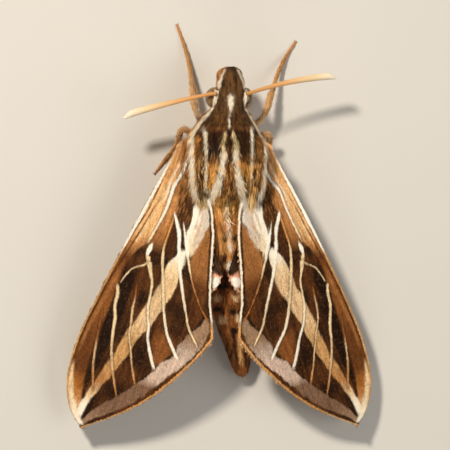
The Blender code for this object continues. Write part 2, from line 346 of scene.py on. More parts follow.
def paint(marks: tuple, ground: Array, along: Array, across: Array, wander: Array) -> Array:
    """Lays markings over a ground, in order.

    Args:
        marks: Lines and fields, the lowest first.
        ground: The colour of each place before them.
        along: Places along.
        across: Places across.
        wander: Small shifts of the markings' edges.

    Returns:
        The colour of each place.
    """
    colour = ground.copy()
    for mark in marks:
        # Painted shade: a dark edging along both sides of each raised vein, weaker over pale ground.
        if isinstance(mark, Line) and mark.ridge:
            vein_shade = mark.wider(0.26).cover(along, across, wander) * 0.55 * (1 - paleness(colour))
            colour = tinted(colour, UMBER, vein_shade)
        cover = mark.cover(along, across, wander)[:, None]
        colour += cover * (tint_along(mark.tints, along) - colour)
    return colour


def band(distance: Array, near: float, far: float) -> Array:
    """1 between two distances from an edge, fading to 0 outside them."""
    soft = 0.07
    inside = ease((distance - near) / soft + 0.5 + (near <= 0))
    return inside * ease((far - distance) / soft + 0.5)


def run(along: Array, start: float, stop: float) -> Array:
    """1 from start to stop, fading to 0 outside them."""
    fade = 2.0
    return ease((along - start) / fade + 0.5) * ease((stop - along) / fade + 0.5)


RADIAL_VEIN = ((1.1, 1.6), (3.2, 1.4), (5.3, 0.95), (8, 0.85), (10.6, 0.5), (12.3, 0.2))
COSTAL_LIMIT = RADIAL_VEIN + ((13.5, -0.5), (15, -1.15), (20, -1.35), (28, -1.55), (31, -1.3), (34.5, -0.6))
BAND_MIDDLE = ((12.3, 4.47), (13.2, 4.33), (14.2, 4.19), (18, 3.85), (20, 3.3), (24, 2.3), (28, 1.4),
    (32, 0.1), (34.5, -0.5), (36, -0.5))
BAND_WIDTH = ((12.3, 0.8), (13.2, 1.4), (14.2, 1.93), (17, 2.1), (22, 1.9), (26, 1.55), (30, 1.2),
    (34, 0.75))
THIRD_LINE = ((8.8, 3.3), (10, 3.9), (12, 4.9), (14.3, 6.2), (15.3, 6.8), (18.3, 9.2), (19.4, 10.4))
EDGE_BAND_TOP = ((18.8, 9.9), (20.2, 9.6), (21.7, 8.7), (23.6, 8), (24.8, 7.8), (26.1, 6.7), (27.5, 6.1),
    (29.9, 4.4), (31.9, 2.9), (33.8, 1.2), (36, 0))
EDGE_LINE = ((18.6, 10.5), (20.4, 11.1), (21.2, 11), (22.8, 10.5), (24.9, 9.6), (27.4, 8.1), (29, 7),
    (31, 5.7), (33.2, 3.7), (35.2, 1.3), (36.3, 0.3))


def beside(path: Stations, width: Stations, side: float) -> Stations:
    """A curve half a width to one side of another."""
    half = [side * float(through(width, np.array(along))) / 2 for along, _ in path]
    return tuple((along, across + by) for (along, across), by in zip(path, half))


FOREWING_MARKS = (
    # Fields, from the leading edge to the inner margin.
    Field(-6, COSTAL_LIMIT, ((4, AMBER), (6, APRICOT), (11, APRICOT), (13, TAN), (15, WALNUT),
        (18, CHESTNUT), (22, CHESTNUT), (26, WALNUT), (30, WALNUT), (32, COPPER), (33.5, TAN), (34.5, BUFF)),
        0, 37, soft=0.15, jag=0.6),
    Field(COSTAL_LIMIT, ((0, 2.1), (12, 2.1), (14.5, 1.4)), ((5, TAN), (9.5, TAN), (11.5, SADDLE),
        (13.5, UMBER)), 0, 14.2, ends=(0.6, 2)),
    Field(1.4, 9, ((2, SADDLE), (5, SADDLE)), 0, 6, ends=(0.5, 1.4)),
    Field(1.9, ((4, 2.8), (6.4, 4), (9.4, 4.6)), ((4, BARK), (6.5, SEPIA)), 3.8, 9.4, soft=0.3,
        ends=(1.6, 0.8), jag=2.5),
    Field(((8, 2.1), (14, 2.6)), ((8, 3), (11, 3.3), (14, 3.5)), SEPIA, 8.8, 13.6),
    Field(((6.8, 7), (8.2, 6.5), (10, 6.05), (11.6, 5.85), (13, 5.8), (15.5, 6.9)), 14, ((7.5, WALNUT),
        (9, SADDLE), (14, SADDLE), (15.6, WALNUT)), 6.8, 15.9, soft=0.2, ends=(1.2, 1.2)),
    Field(((21, 4.3), (27, 5.7)), ((21, 5.6), (24, 7.4), (27, 7)), CHESTNUT, 22.6, 26.6, soft=0.5,
        ends=(1.4, 1.2)),
    Field(((24, -1.4), (32, -1.2)), ((24, 0.2), (28, -0.1), (32, -0.8)), SOOT, 16, 31.5, soft=0.25,
        ends=(2, 1.5)),
    # The white patch by the inner margin, then the long pale band, cream at the root and tan to the tip.
    Field(((5, 3.8), (7, 4.1), (8.5, 4.3), (10, 4.1), (11, 4.35), (12.6, 4.9)), ((5, 6), (6, 6.5),
        (7.2, 6.9), (8.2, 6.5), (10, 6.05), (11.6, 5.85), (12.8, 5.6)), ((6.5, MILK), (9, IVORY),
        (12.5, CREAM)), 4.6, 12.6, soft=0.24, ends=(1.2, 1), jag=2.2),
    Field(((5.5, 5.5), (8, 5.3), (12, 5.3)), ((5.5, 6.2), (8.2, 6.5), (10, 6.05), (12, 5.8)), ASH, 5.6, 11.6,
        soft=0.35, ends=(0.8, 1.5), jag=2.5, strength=0.6),
    Line(((6, 5), (8.6, 5.5), (10.6, 5.3)), ((6, 0.3), (8, 0.16), (10.6, 0.1)), TAN, soft=0.16,
        ends=(1, 1.5), strength=0.55, jag=1.6),
    Line(((5.6, 4.4), (7.4, 4.9), (9.4, 4.9)), ((5.6, 0.3), (9.4, 0.1)), CHESTNUT, soft=0.16, ends=(1, 1.5),
        strength=0.5, jag=1.6),
    Field(beside(BAND_MIDDLE, BAND_WIDTH, -1), beside(BAND_MIDDLE, BAND_WIDTH, 1), ((10.5, MILK),
        (13.2, IVORY), (14.6, CREAM), (16, BUFF), (22, BUFF), (25, HONEY), (28, HONEY), (30.5, TAN),
        (32.5, BUFF), (34, IVORY)), 12, 35.6, soft=0.14, ends=(0.6, 0.8), jag=1.1),
    # Terminal band, under a dark rim.
    Line(EDGE_BAND_TOP, ((19, 0.5), (26, 0.4), (34, 0.2)), SOOT, soft=0.14, ends=(0.8, 1), strength=0.9,
        jag=1.2),
    Field(EDGE_BAND_TOP, EDGE_LINE, ((20, FAWN), (22.3, FAWN), (23.8, ASH), (25.5, BLUSH), (28.2, BLUSH),
        (29.4, DUSK), (33.5, DUSK), (35.4, FAWN)), 19, 36.2, soft=0.14, ends=(0.8, 0.6), jag=1.4),
    # Leading edge.
    Line(((17.4, -1.9), (20, -2.2), (23.7, -2.85), (27.3, -3.1)), 0.42, SADDLE, soft=0.15, ends=(2.5, 2.5)),
    Line(((4.5, -0.5), (8.4, -0.95), (11, -1.5), (12.6, -1.85)), 0.14, WALNUT, ends=(1, 1)),
    Line(((4, 0.4), (8, -0.1), (11.5, -0.8), (13.2, -1.15)), 0.18, CREAM, soft=0.12, ends=(1.5, 1.5),
        strength=0.6, jag=0.8),
    Line(((5, 0.85), (8, 0.45), (11, -0.1), (13, -0.55)), 0.12, SADDLE, soft=0.12, ends=(1.5, 1.5),
        strength=0.6, jag=0.8),
    Line(((6.7, -0.1), (8.8, -0.55), (11.9, -1.15), (15.2, -1.85), (17.4, -2.35), (21.4, -2.95),
        (27.1, -3.55)), 0.15, ((10, CHESTNUT), (14, SEPIA), (27, SEPIA)), ends=(2, 2)),
    Line(((29.5, -3.25), (31, -2.95), (33.4, -2.1), (35.3, -0.95), (36.4, 0.1)), ((29.5, 0.3), (33, 0.62),
        (36.5, 0.55)), ((30, BUFF), (33, CREAM), (36, IVORY)), soft=0.2, ends=(1.5, 0.3)),
    # Veins.
    Line(RADIAL_VEIN, ((1, 0.34), (8, 0.26), (12.3, 0.2)), ((4, MILK), (9, IVORY), (12.3, CREAM)),
        ends=(1, 1), ridge=0.07),
    Line(((1.5, 0.9), (4, 0.6), (7, 0.35)), 0.2, IVORY, soft=0.1, ends=(1, 2), strength=0.7),
    Line(((2, 1.9), (5, 2.3), (8.2, 2)), 0.2, TAN, soft=0.1, ends=(1, 1), strength=0.45, jag=0.8),
    Line(((8.2, 2), (10.5, 2), (12.5, 2.05), (14, 2.4), (16, 3.1), (18, 3.9), (20.4, 4.9), (22.3, 6),
        (24.2, 7.7), (25, 8.4)), ((8.2, 0.2), (12, 0.2), (14, 0.26), (20, 0.28), (25, 0.32)), ((11.5, GOLD),
        (13, CREAM), (19, CREAM), (23, IVORY)), ends=(0.6, 0.6), ridge=0.08),
    Line(((8, 1.9), (9, 2.5), (10, 3.1), (12, 3.8), (14.3, 4.75), (16.7, 6), (19, 7.3), (20.9, 8.4),
        (22.7, 10.1)), ((8, 0.08), (8.6, 0.34), (10, 0.42), (12, 0.38), (17, 0.26), (22.7, 0.2)),
        ((12, MILK), (16, IVORY), (20, CREAM)), ends=(0.6, 0.6), ridge=0.06, jag=0.4),
    Line(THIRD_LINE, ((8.8, 0.04), (9.8, 0.18), (11, 0.3), (13, 0.26), (15, 0.16), (19.4, 0.12)),
        ((11.5, MILK), (14, CREAM), (15.5, TAN), (19, COPPER)), ends=(0.4, 0.6), ridge=0.05, jag=0.4),
    Line(((6.6, 4), (8.1, 4.35), (10, 4.4), (11.3, 4.7), (12.4, 5.2)), 0.3, MILK, ends=(0.8, 0.8)),
    Line(((14.7, 1), (15.7, 1.45), (17, 2.1), (18.7, 2.4), (20, 2.6), (22.5, 3.6), (25.6, 5.2), (27, 6.1)),
        ((14.7, 0.56), (15.8, 0.34), (17.2, 0.22), (22, 0.26), (27, 0.34)), ((18, CREAM), (23, IVORY)),
        ends=(0.3, 0.8), ridge=0.08),
    Line(((18, 0.6), (19.6, 0.9), (20.8, 1), (23.3, 1.7), (26.1, 2.9), (27.5, 3.5), (29.6, 4.6)), 0.18,
        ((19, CHESTNUT), (20.5, BUFF), (26, BUFF), (29, TAN)), ends=(1, 1.2), ridge=0.06),
    Line(((18.6, -1.4), (19.6, -1.1), (21.2, -0.9), (22.6, -0.4), (26.7, 0.65), (30, 2.1), (31.7, 3)),
        ((19, 0.3), (26, 0.27), (31.5, 0.16)), ((24, CREAM), (27.5, BUFF), (31, TAN)), ends=(0.5, 1.2),
        ridge=0.07),
    Line(((22, -2.1), (26.4, -1.4), (28.5, -1), (31.9, 0.1)), 0.2, ((25.5, CHESTNUT), (27, BUFF), (30, TAN)),
        ends=(2, 0.8), ridge=0.06),
    # Spots round the end of the cell.
    Line(((12.4, 0.65), (14, 0.55)), ((12.4, 0.2), (13.2, 0.5), (14, 0.26)), MILK, ends=(0.5, 0.4)),
    Line(((13.9, 0.6), (14.6, 0.9)), 0.2, CREAM, ends=(0.2, 0.3), jag=1.5),
    Line(((14.8, 1), (15.3, 0.5), (16, -0.4), (16.8, -0.8), (18.1, -1.2)), 0.15, CREAM, ends=(0.3, 0.4)),
)


class WingSide(Enum):
    """The two faces of a wing."""

    UPPER = 1.0
    UNDER = -1.0


@dataclass(frozen=True)
class ForewingPattern:
    """The forewing's colours and veins in wing coordinates.

    Attributes:
        lean: How far inward the middle of the pattern sits on this side.
        marks: Its markings, the lowest first.
    """

    lean: float
    marks: tuple = FOREWING_MARKS

    def settled(self, along: Array, inward: Array) -> Array:
        """Places across the wing, moved to where the markings lie on this side."""
        return inward - self.lean * run(along, 5.0, 23.0) * np.exp(-(((inward - 3.0) / 3.4) ** 2))

    def wander(self, along: Array, inward: Array) -> Array:
        """How far the edges of the markings wander, in millimetres."""
        broad = noise(along, inward * 2.2, 3, 1.1)
        fine = noise(along * 0.7, inward * 3.0, 4, 0.35)
        return 0.22 * (broad - 0.5) + 0.12 * (fine - 0.5)

    def margins(self, along: Array, ahead: Array, behind: Array) -> tuple[tuple[Array, Tint], ...]:
        """The lines that run along the wing's edges.

        Args:
            along: Places along the wing.
            ahead: Distance of each place from the leading edge.
            behind: Distance of each place from the trailing edge.

        Returns:
            How much each line covers, and its colour, the lowest first.
        """
        inner = ease((along - 5.6) / 1.0) * ease((20.2 - along) / 1.5)
        outer = ease((along - 18.8) / 1.5)
        edging = np.interp(along, (3.0, 5.0, 10.0, 15.0), (0.6, 0.9, 1.0, 0.4))
        return (
            (0.7 * band(ahead, 0.3, 0.42) * run(along, 4.0, 15.0), CHESTNUT),
            (band(ahead, 0.0, 0.2) * run(along, 14.0, 37.0), HONEY),
            # The wing's pale leading edge near the root, whitened by a painted highlight.
            (band(ahead / edging, 0.0, 0.36) * run(along, 1.6, 14.5), MILK),
            (0.9 * band(behind, 0.26, 0.56) * inner, UMBER),
            (band(behind, 0.0, 0.27) * inner, IVORY),
            (0.85 * band(behind, 0.28, 0.44) * outer, UMBER),
            (band(behind, 0.0, 0.3) * outer, FRINGE),
        )

    def upper(self, along: Array, inward: Array, ahead: Array, behind: Array) -> Array:
        """The colour of the upper face.

        Args:
            along: Places along the wing.
            inward: Places across it.
            ahead: Distance of each place from the leading edge.
            behind: Distance of each place from the trailing edge.

        Returns:
            A row of linear colour for each place.
        """
        along = np.maximum(along, 1.0)
        streak = noise(along * 0.35, inward * 3.5, 5)
        cloud = noise(along, inward, 6, 2.4)
        ground = tinted(UMBER.light, WALNUT, 0.75 * np.sqrt(streak * cloud))
        ground = tinted(ground, SOOT, 0.75 * ease(1.5 - 2.2 * cloud - 0.7 * streak))
        colour = paint(self.marks, ground, along, self.settled(along, inward), self.wander(along, inward))
        for cover, tint in self.margins(along, ahead, behind):
            colour = tinted(colour, tint, cover)
        grain = noise(along * 1.6, inward * 5.0, 8)
        mottle = noise(along * 1.5, inward * 7.0, 9) - 0.45
        shaggy = ease((10.5 - along) / 4.0) * (1 - ease(4.0 * colour[:, 2] - 0.6))
        colour = tinted(colour, GOLD, 0.9 * shaggy * np.maximum(mottle, 0))
        change = (0.3 * streak + 0.26 * grain - 0.28) * (1 - 0.45 * paleness(colour))
        return colour * (1 + change + 0.9 * shaggy * np.minimum(mottle, 0))[:, None]

    def under(self, along: Array, inward: Array) -> Array:
        """The muted colour of the under face.

        Args:
            along: Places along the wing.
            inward: Places across it.

        Returns:
            A row of linear colour for each place.
        """
        colour = tinted(FAWN.light, BUFF, noise(along, inward * 1.5, 7, 1.2))
        middle = ease((24.0 - along) / 8.0) * ease((along - 3.0) / 5.0)
        colour = tinted(colour, SADDLE, 0.6 * middle)
        border = Field(EDGE_BAND_TOP, EDGE_LINE, DUSK, 18.0, 36.5, soft=0.4)
        return paint((border,), colour, along, inward, self.wander(along, inward))

    def relief(self, along: Array, inward: Array) -> Array:
        """How far the veins raise the wing.

        Args:
            along: Places along the wing.
            inward: Places across it.

        Returns:
            The rise at each place, in millimetres.
        """
        height = np.zeros(len(along))
        inward = self.settled(along, inward)
        for mark in self.marks:
            if isinstance(mark, Line) and mark.ridge:
                rise = mark.ridge * np.exp(-((mark.distance(along, inward) / 0.24) ** 2))
                height = np.maximum(height, rise * mark.reach(along))
        return height


HINDWING_MARKS = (
    Field(((7, 2.6), (13, 1.2), (19, 0.6)), ((7, 5.2), (12, 4.9), (17, 2.6), (19.5, 1)), ROSE, 7, 19,
        soft=0.4, ends=(2, 1.5)),
    Field(((5, 6.5), (8.6, 7), (11, 6.6)), 14, ((7.8, FRINGE), (8.5, SALMON), (9.6, ROSE)), 8.2, 9.9,
        soft=0.3, ends=(0.5, 0.5), jag=2),
    Field(((7.5, 7.3), (8.6, 7.5), (9.6, 7)), 14, MILK, 8.7, 9.75, soft=0.25, ends=(0.4, 0.3), jag=2),
)


@dataclass(frozen=True)
class HindwingPattern:
    """The hindwing's colours: black, with a rose band and a white tuft by the abdomen."""

    marks: tuple = HINDWING_MARKS

    def upper(self, along: Array, inward: Array, ahead: Array, behind: Array) -> Array:
        """The colour of the upper face.

        Args:
            along: Places along the wing.
            inward: Places across it.
            ahead: Distance of each place from the leading edge.
            behind: Distance of each place from the trailing edge.

        Returns:
            A row of linear colour for each place.
        """
        cloud = noise(along, inward, 11, 0.8)
        streak = noise(along * 0.5, inward * 6.0, 13)
        ground = tinted(SOOT.light, DUSK, 0.8 * streak * cloud)
        colour = paint(self.marks, ground, along, inward, 0.3 * (cloud - 0.5))
        colour = tinted(colour, BUFF, ease(1.6 - ahead))
        fringe = band(behind, 0.0, 0.24) * ease((along - 9.6) / 0.6)
        return tinted(colour, BUFF, fringe)

    def under(self, along: Array, inward: Array) -> Array:
        """The pinkish tan of the under face."""
        return tinted(FAWN.light, SALMON, noise(along, inward, 12, 1.3))

    def relief(self, along: Array, inward: Array) -> Array:
        """Low pleats that fan from the root."""
        turn = np.arctan2(inward, along + 1.0)
        return 0.05 * (0.5 + 0.5 * np.cos(turn * 40.0)) * ease(along / 3.0)


# ---- finishes


class Sheet:
    """A material's nodes, with short calls to add and join them."""

    def __init__(self, name: str) -> None:
        """A new material of that name with only its Principled shader."""
        self.material = bpy.data.materials.new(name)
        self.material.use_nodes = True
        self.tree = self.material.node_tree
        self.shader = self.tree.nodes["Principled BSDF"]

    def node(self, kind: str, **values: object) -> bpy.types.Node:
        """Adds a node.

        Args:
            kind: The node's type, without its ShaderNode prefix.
            **values: Attributes, or sockets named with _ for a space.

        Returns:
            The node.
        """
        made = self.tree.nodes.new(f"ShaderNode{kind}")
        for key, value in values.items():
            if hasattr(made, key):
                setattr(made, key, value)
            else:
                made.inputs[key.replace("_", " ")].default_value = value
        return made

    def join(self, start: Socket, end: Socket) -> None:
        """Links two sockets."""
        self.tree.links.new(start, end)

    def set(self, **values: object) -> None:
        """Sets the shader's own sockets, named with _ for a space."""
        for key, value in values.items():
            self.shader.inputs[key.replace("_", " ")].default_value = value

    def places(self, stretch: tuple[float, float, float]) -> Socket:
        """Object coordinates, with each axis multiplied."""
        coordinates = self.node("TexCoord")
        mapping = self.node("Mapping", Scale=stretch)
        self.join(coordinates.outputs["Object"], mapping.inputs["Vector"])
        return mapping.outputs["Vector"]

    def shaded(self, colour: Socket, share: Socket, low: float,
               high: float) -> None:
        """Sends a colour to the shader, made darker and lighter by a share from 0 to 1.

        Args:
            colour: The colour's socket.
            share: What changes it.
            low: Brightness at share 0.
            high: Brightness at share 1.
        """
        span = self.node("MapRange", To_Min=low, To_Max=high)
        self.join(share, span.inputs["Value"])
        change = self.node("HueSaturation")
        self.join(colour, change.inputs["Color"])
        self.join(span.outputs["Result"], change.inputs["Value"])
        self.join(change.outputs["Color"], self.shader.inputs["Base Color"])

    def bump(self, height: Socket, depth: float, strength: float) -> None:
        """Adds a bump whose full height is depth, in millimetres."""
        bump = self.node("Bump", Strength=strength, Distance=depth * MM)
        self.join(height, bump.inputs["Height"])
        self.join(bump.outputs["Normal"], self.shader.inputs["Normal"])


@dataclass(frozen=True)
class PaintedFinish:
    """A surface coloured by its Tint layer, broken up by grain.

    Attributes:
        name: The material's name.
        roughness: From 0 for gloss to 1.
        sheen: The soft glow of fine hair at the edges.
        gloss: Specular level.
        grain: Size of the grain, in millimetres.
        stretch: How much longer the grain is along the body than across.
        depth: Height of the bump, in millimetres.
        light: Brightness of the darkest and lightest grain.
    """

    name: str
    roughness: float = 0.6
    sheen: float = 0.05
    gloss: float = 0.2
    grain: float = 0.12
    stretch: float = 4.0
    depth: float = 0.03
    light: tuple[float, float] = (0.8, 1.2)

    def material(self) -> bpy.types.Material:
        """The finish as a material, made once."""
        made = bpy.data.materials.get(self.name)
        if made:
            return made
        sheet = Sheet(self.name)
        sheet.set(Roughness=self.roughness, Specular_IOR_Level=self.gloss)
        sheet.set(Sheen_Weight=self.sheen, Sheen_Roughness=0.5)
        tint = sheet.node("Attribute", attribute_name=TINT_LAYER)
        size = 1 / (self.grain * MM)
        grain = sheet.node("TexNoise", Scale=1.0, Detail=3.0)
        sheet.join(sheet.places((size, size / self.stretch, size)), grain.inputs["Vector"])
        sheet.shaded(tint.outputs["Color"], grain.outputs["Fac"], *self.light)
        sheet.bump(grain.outputs["Fac"], self.depth, 0.6)
        return sheet.material


@dataclass(frozen=True)
class EyeFinish:
    """A dark glossy eye of fine facets.

    Attributes:
        name: The material's name.
        facet: Size of a facet, in millimetres.
    """

    name: str = "eye_facets"
    facet: float = 0.07

    def material(self) -> bpy.types.Material:
        """The finish as a material, made once."""
        made = bpy.data.materials.get(self.name)
        if made:
            return made
        sheet = Sheet(self.name)
        sheet.set(Roughness=0.22, Specular_IOR_Level=0.6, Coat_Weight=0.5, Coat_Roughness=0.12)
        size = 1 / (self.facet * MM)
        facets = sheet.node("TexVoronoi", Scale=1.0, feature="F1")
        sheet.join(sheet.places((size, size, size)), facets.inputs["Vector"])
        cloud = sheet.node("TexNoise", Scale=1.0, Detail=2.0)
        sheet.join(sheet.places((900.0, 500.0, 1400.0)), cloud.inputs["Vector"])
        ramp = sheet.node("ValToRGB")
        for stop, at, tint in zip(ramp.color_ramp.elements, (0.35, 0.65), (BARK, OLIVE)):
            stop.position = at
            stop.color = (*tint.light, 1.0)
        sheet.join(cloud.outputs["Fac"], ramp.inputs["Fac"])
        sheet.shaded(ramp.outputs["Color"], facets.outputs["Distance"], 1.15, 0.6)
        sheet.bump(facets.outputs["Distance"], -0.02, 0.5)
        return sheet.material


@dataclass(frozen=True)
class FloorFinish:
    """A plain pale matt floor.

    Attributes:
        name: The material's name.
        tint: Its colour.
    """

    name: str = "floor_matt"
    tint: Tint = PALE_FLOOR

    def material(self) -> bpy.types.Material:
        """The finish as a material, with a faint unevenness."""
        sheet = Sheet(self.name)
        sheet.set(Roughness=0.9, Specular_IOR_Level=0.2)
        cloud = sheet.node("TexNoise", Scale=60.0, Detail=4.0)
        flat = sheet.node("RGB")
        flat.outputs[0].default_value = (*self.tint.light, 1.0)
        sheet.shaded(flat.outputs[0], cloud.outputs["Fac"], 0.97, 1.03)
        return sheet.material


Finish = PaintedFinish | EyeFinish | FloorFinish

SKIN = PaintedFinish("bare_skin", roughness=0.8, grain=0.09, stretch=6.0, depth=0.06, light=(0.6, 1.2))
HEAD_HAIR = PaintedFinish("head_fur", roughness=0.62, gloss=0.12)
THORAX_HAIR = PaintedFinish("thorax_fur", roughness=0.55, sheen=0.03, gloss=0.12, stretch=6.0,
                            light=(0.7, 1.3))
ABDOMEN_HAIR = PaintedFinish("abdomen_fur", roughness=0.58, gloss=0.14)
WING_SKIN = PaintedFinish("membrane", roughness=0.8, sheen=0.0, gloss=0.06, grain=0.1, stretch=2.0)
WING_SCALES = PaintedFinish("scale_coat", roughness=0.65, sheen=0.0, gloss=0.06, grain=0.14, stretch=1.5,
                            light=(0.84, 1.16))
FEELER = PaintedFinish("feeler_shaft", roughness=0.5, sheen=0.05, grain=0.07, stretch=1.0)
LIMB = PaintedFinish("limb_horn", roughness=0.5, sheen=0.1, grain=0.08, stretch=2.0)
TONGUE = PaintedFinish("tongue_horn", roughness=0.35, sheen=0.0, gloss=0.5, grain=0.05, stretch=1.0)


# ---- meshes


def add_mesh(name: str, points: Array, faces: Array, finish: Finish, tints: Array | None = None,
             places: Array | None = None) -> Piece:
    """An object from arrays.

    Args:
        name: The piece's name.
        points: Its points, in millimetres, in the row frame.
        faces: Point numbers, three or four to a row.
        finish: What it is covered with.
        tints: A linear colour for each point.
        places: Where each point lies on the unwrap.

    Returns:
        The object, in the scene.
    """
    mesh = bpy.data.meshes.new(name)
    mesh.vertices.add(len(points))
    mesh.vertices.foreach_set("co", (points * MM).astype(np.float32).ravel())
    corners = faces.astype(np.int32).ravel()
    mesh.loops.add(len(corners))
    mesh.loops.foreach_set("vertex_index", corners)
    mesh.polygons.add(len(faces))
    mesh.polygons.foreach_set("loop_start", np.arange(0, len(corners), faces.shape[1], dtype=np.int32))
    mesh.update(calc_edges=True)
    mesh.shade_smooth()
    if tints is not None:
        layer = mesh.color_attributes.new(TINT_LAYER, "FLOAT_COLOR", "POINT")
        rgba = np.concatenate([capped(tints), np.ones((len(tints), 1))], axis=1)
        layer.data.foreach_set("color", rgba.astype(np.float32).ravel())
    if places is not None:
        unwrap = mesh.uv_layers.new(name=BAKE_MAP)
        unwrap.data.foreach_set("uv", places[corners].astype(np.float32).ravel())
    mesh.materials.append(finish.material())
    piece = bpy.data.objects.new(name, mesh)
    bpy.context.scene.collection.objects.link(piece)
    return piece


def settle(piece: Piece, slot: str, *nodes: str) -> None:
    """Puts a piece on the body in place of its nodes, and reports it.

    Args:
        piece: The piece.
        slot: The record's material slot; not used.
        *nodes: The nodes it stands for.
    """
    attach(piece, "root")
    if nodes:
        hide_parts(*nodes)
    log.info("%s: %d faces", piece.name, len(piece.data.polygons))


def grid_faces(rows: int, columns: int, closed: bool) -> Array:
    """Faces over a grid of points.

    Args:
        rows: How many rows of points.
        columns: Points in a row.
        closed: Whether each row joins its own start.

    Returns:
        Four point numbers to a row.
    """
    row, column = np.meshgrid(np.arange(rows - 1), np.arange(columns - (not closed)), indexing="ij")
    here = row * columns + column
    beside_it = row * columns + (column + 1) % columns
    return np.stack([here, beside_it, beside_it + columns, here + columns], axis=-1).reshape(-1, 4)


def closed_faces(rows: int, columns: int, outward: bool) -> Array:
    """Triangles over closed rings whose first and last are shut by a point each.

    Args:
        rows: How many rings.
        columns: Points in a ring.
        outward: Which way round the triangles run.

    Returns:
        Three point numbers to a row; the two end points follow the rings.
    """
    quads = grid_faces(rows, columns, True)
    here = np.arange(columns)
    following = (here + 1) % columns
    if not outward:
        quads = quads[:, ::-1]
        here, following = following, here
    count = rows * columns
    base = count - columns
    first = np.stack([np.full(columns, count), following, here], axis=1)
    last = np.stack([np.full(columns, count + 1), base + here, base + following], axis=1)
    return np.concatenate([quads[:, [0, 1, 2]], quads[:, [0, 2, 3]], first, last])


def node_shape(name: str) -> tuple[Array, Array]:
    """The shape of a node.

    Args:
        name: The node.

    Returns:
        Its points in millimetres, and its triangles as point numbers.
    """
    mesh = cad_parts[name].data
    points = np.empty(len(mesh.vertices) * 3)
    mesh.vertices.foreach_get("co", points)
    mesh.calc_loop_triangles()
    faces = np.empty(len(mesh.loop_triangles) * 3, np.int32)
    mesh.loop_triangles.foreach_get("vertices", faces)
    return points.reshape(-1, 3) / MM, faces.reshape(-1, 3)


def joined_shape(names: tuple[str, ...]) -> tuple[Array, Array]:
    """Several nodes as one shape.

    Args:
        names: The nodes.

    Returns:
        Their points and triangles, as node_shape gives them.
    """
    points, faces, start = [], [], 0
    for name in names:
        some, theirs = node_shape(name)
        points.append(some)
        faces.append(theirs + start)
        start += len(some)
    return np.concatenate(points), np.concatenate(faces)


def tree_of(points: Array, faces: Array) -> BVHTree:
    """A tree for finding where a line meets the shape."""
    return BVHTree.FromPolygons([Vector(p) for p in points], [tuple(int(i) for i in f) for f in faces])


def sections(points: Array, faces: Array, axis: int, stations: Array, wanted: list[int]) -> Array:
    """How far a shape reaches where planes cut it.

    Args:
        points: The shape's points.
        faces: Its triangles.
        axis: The coordinate that is level on each plane.
        stations: The planes' positions.
        wanted: The coordinates whose extent is wanted.

    Returns:
        For each station, the least and the most of each wanted coordinate; NaN where nothing is cut.
    """
    edges = np.concatenate([faces[:, [0, 1]], faces[:, [1, 2]], faces[:, [2, 0]]])
    start, end = points[edges[:, 0]], points[edges[:, 1]]
    found = np.full((len(stations), len(wanted), 2), np.nan)
    for k, station in enumerate(stations):
        cut = (start[:, axis] - station) * (end[:, axis] - station) < 0
        if not cut.any():
            continue
        a, b = start[cut], end[cut]
        share = ((station - a[:, axis]) / (b[:, axis] - a[:, axis]))[:, None]
        met = (a + share * (b - a))[:, wanted]
        found[k, :, 0] = met.min(axis=0)
        found[k, :, 1] = met.max(axis=0)
    return found


def fill_gaps(values: Array) -> Array:
    """Fills each column's NaN values from the nearest known ones on both sides.

    Args:
        values: The values, columns down the first axis.

    Returns:
        The values without gaps.
    """
    filled = values.copy()
    rows = np.arange(len(values))
    for column in filled.reshape(len(values), -1).T:
        known = ~np.isnan(column)
        column[~known] = np.interp(rows[~known], rows[known], column[known])
    return filled


def blur(values: Array, reach: float, axis: int, wrap: bool) -> Array:
    """Values smoothed along one axis.

    Args:
        values: The values.
        reach: The width of the smoothing, in samples.
        axis: The axis to smooth along.
        wrap: Whether the axis joins its own start.

    Returns:
        The smoothed values.
    """
    span = int(math.ceil(3 * reach))
    weights = np.exp(-0.5 * (np.arange(-span, span + 1) / reach) ** 2)
    weights /= weights.sum()
    padding = [(0, 0)] * values.ndim
    padding[axis] = (span, span)
    padded = np.pad(values, padding, mode="wrap" if wrap else "edge")
    return np.apply_along_axis(lambda line: np.convolve(line, weights, mode="valid"), axis, padded)


def between(grid: Array, row: Array, column: Array) -> Array:
    """Values of a grid between its points.

    Args:
        grid: The grid, by row and column.
        row: Rows, which may lie between two.
        column: Columns, which wrap round.

    Returns:
        The value at each place.
    """
    low = np.clip(np.floor(row).astype(int), 0, len(grid) - 2)
    left = np.floor(column).astype(int)
    extra = (-1,) + (1,) * (grid.ndim - 2)
    up, over = (row - low).reshape(extra), (column - left).reshape(extra)
    left, right = left % grid.shape[1], (left + 1) % grid.shape[1]
    first = grid[low, left] * (1 - over) + grid[low, right] * over
    second = grid[low + 1, left] * (1 - over) + grid[low + 1, right] * over
    return first * (1 - up) + second * up


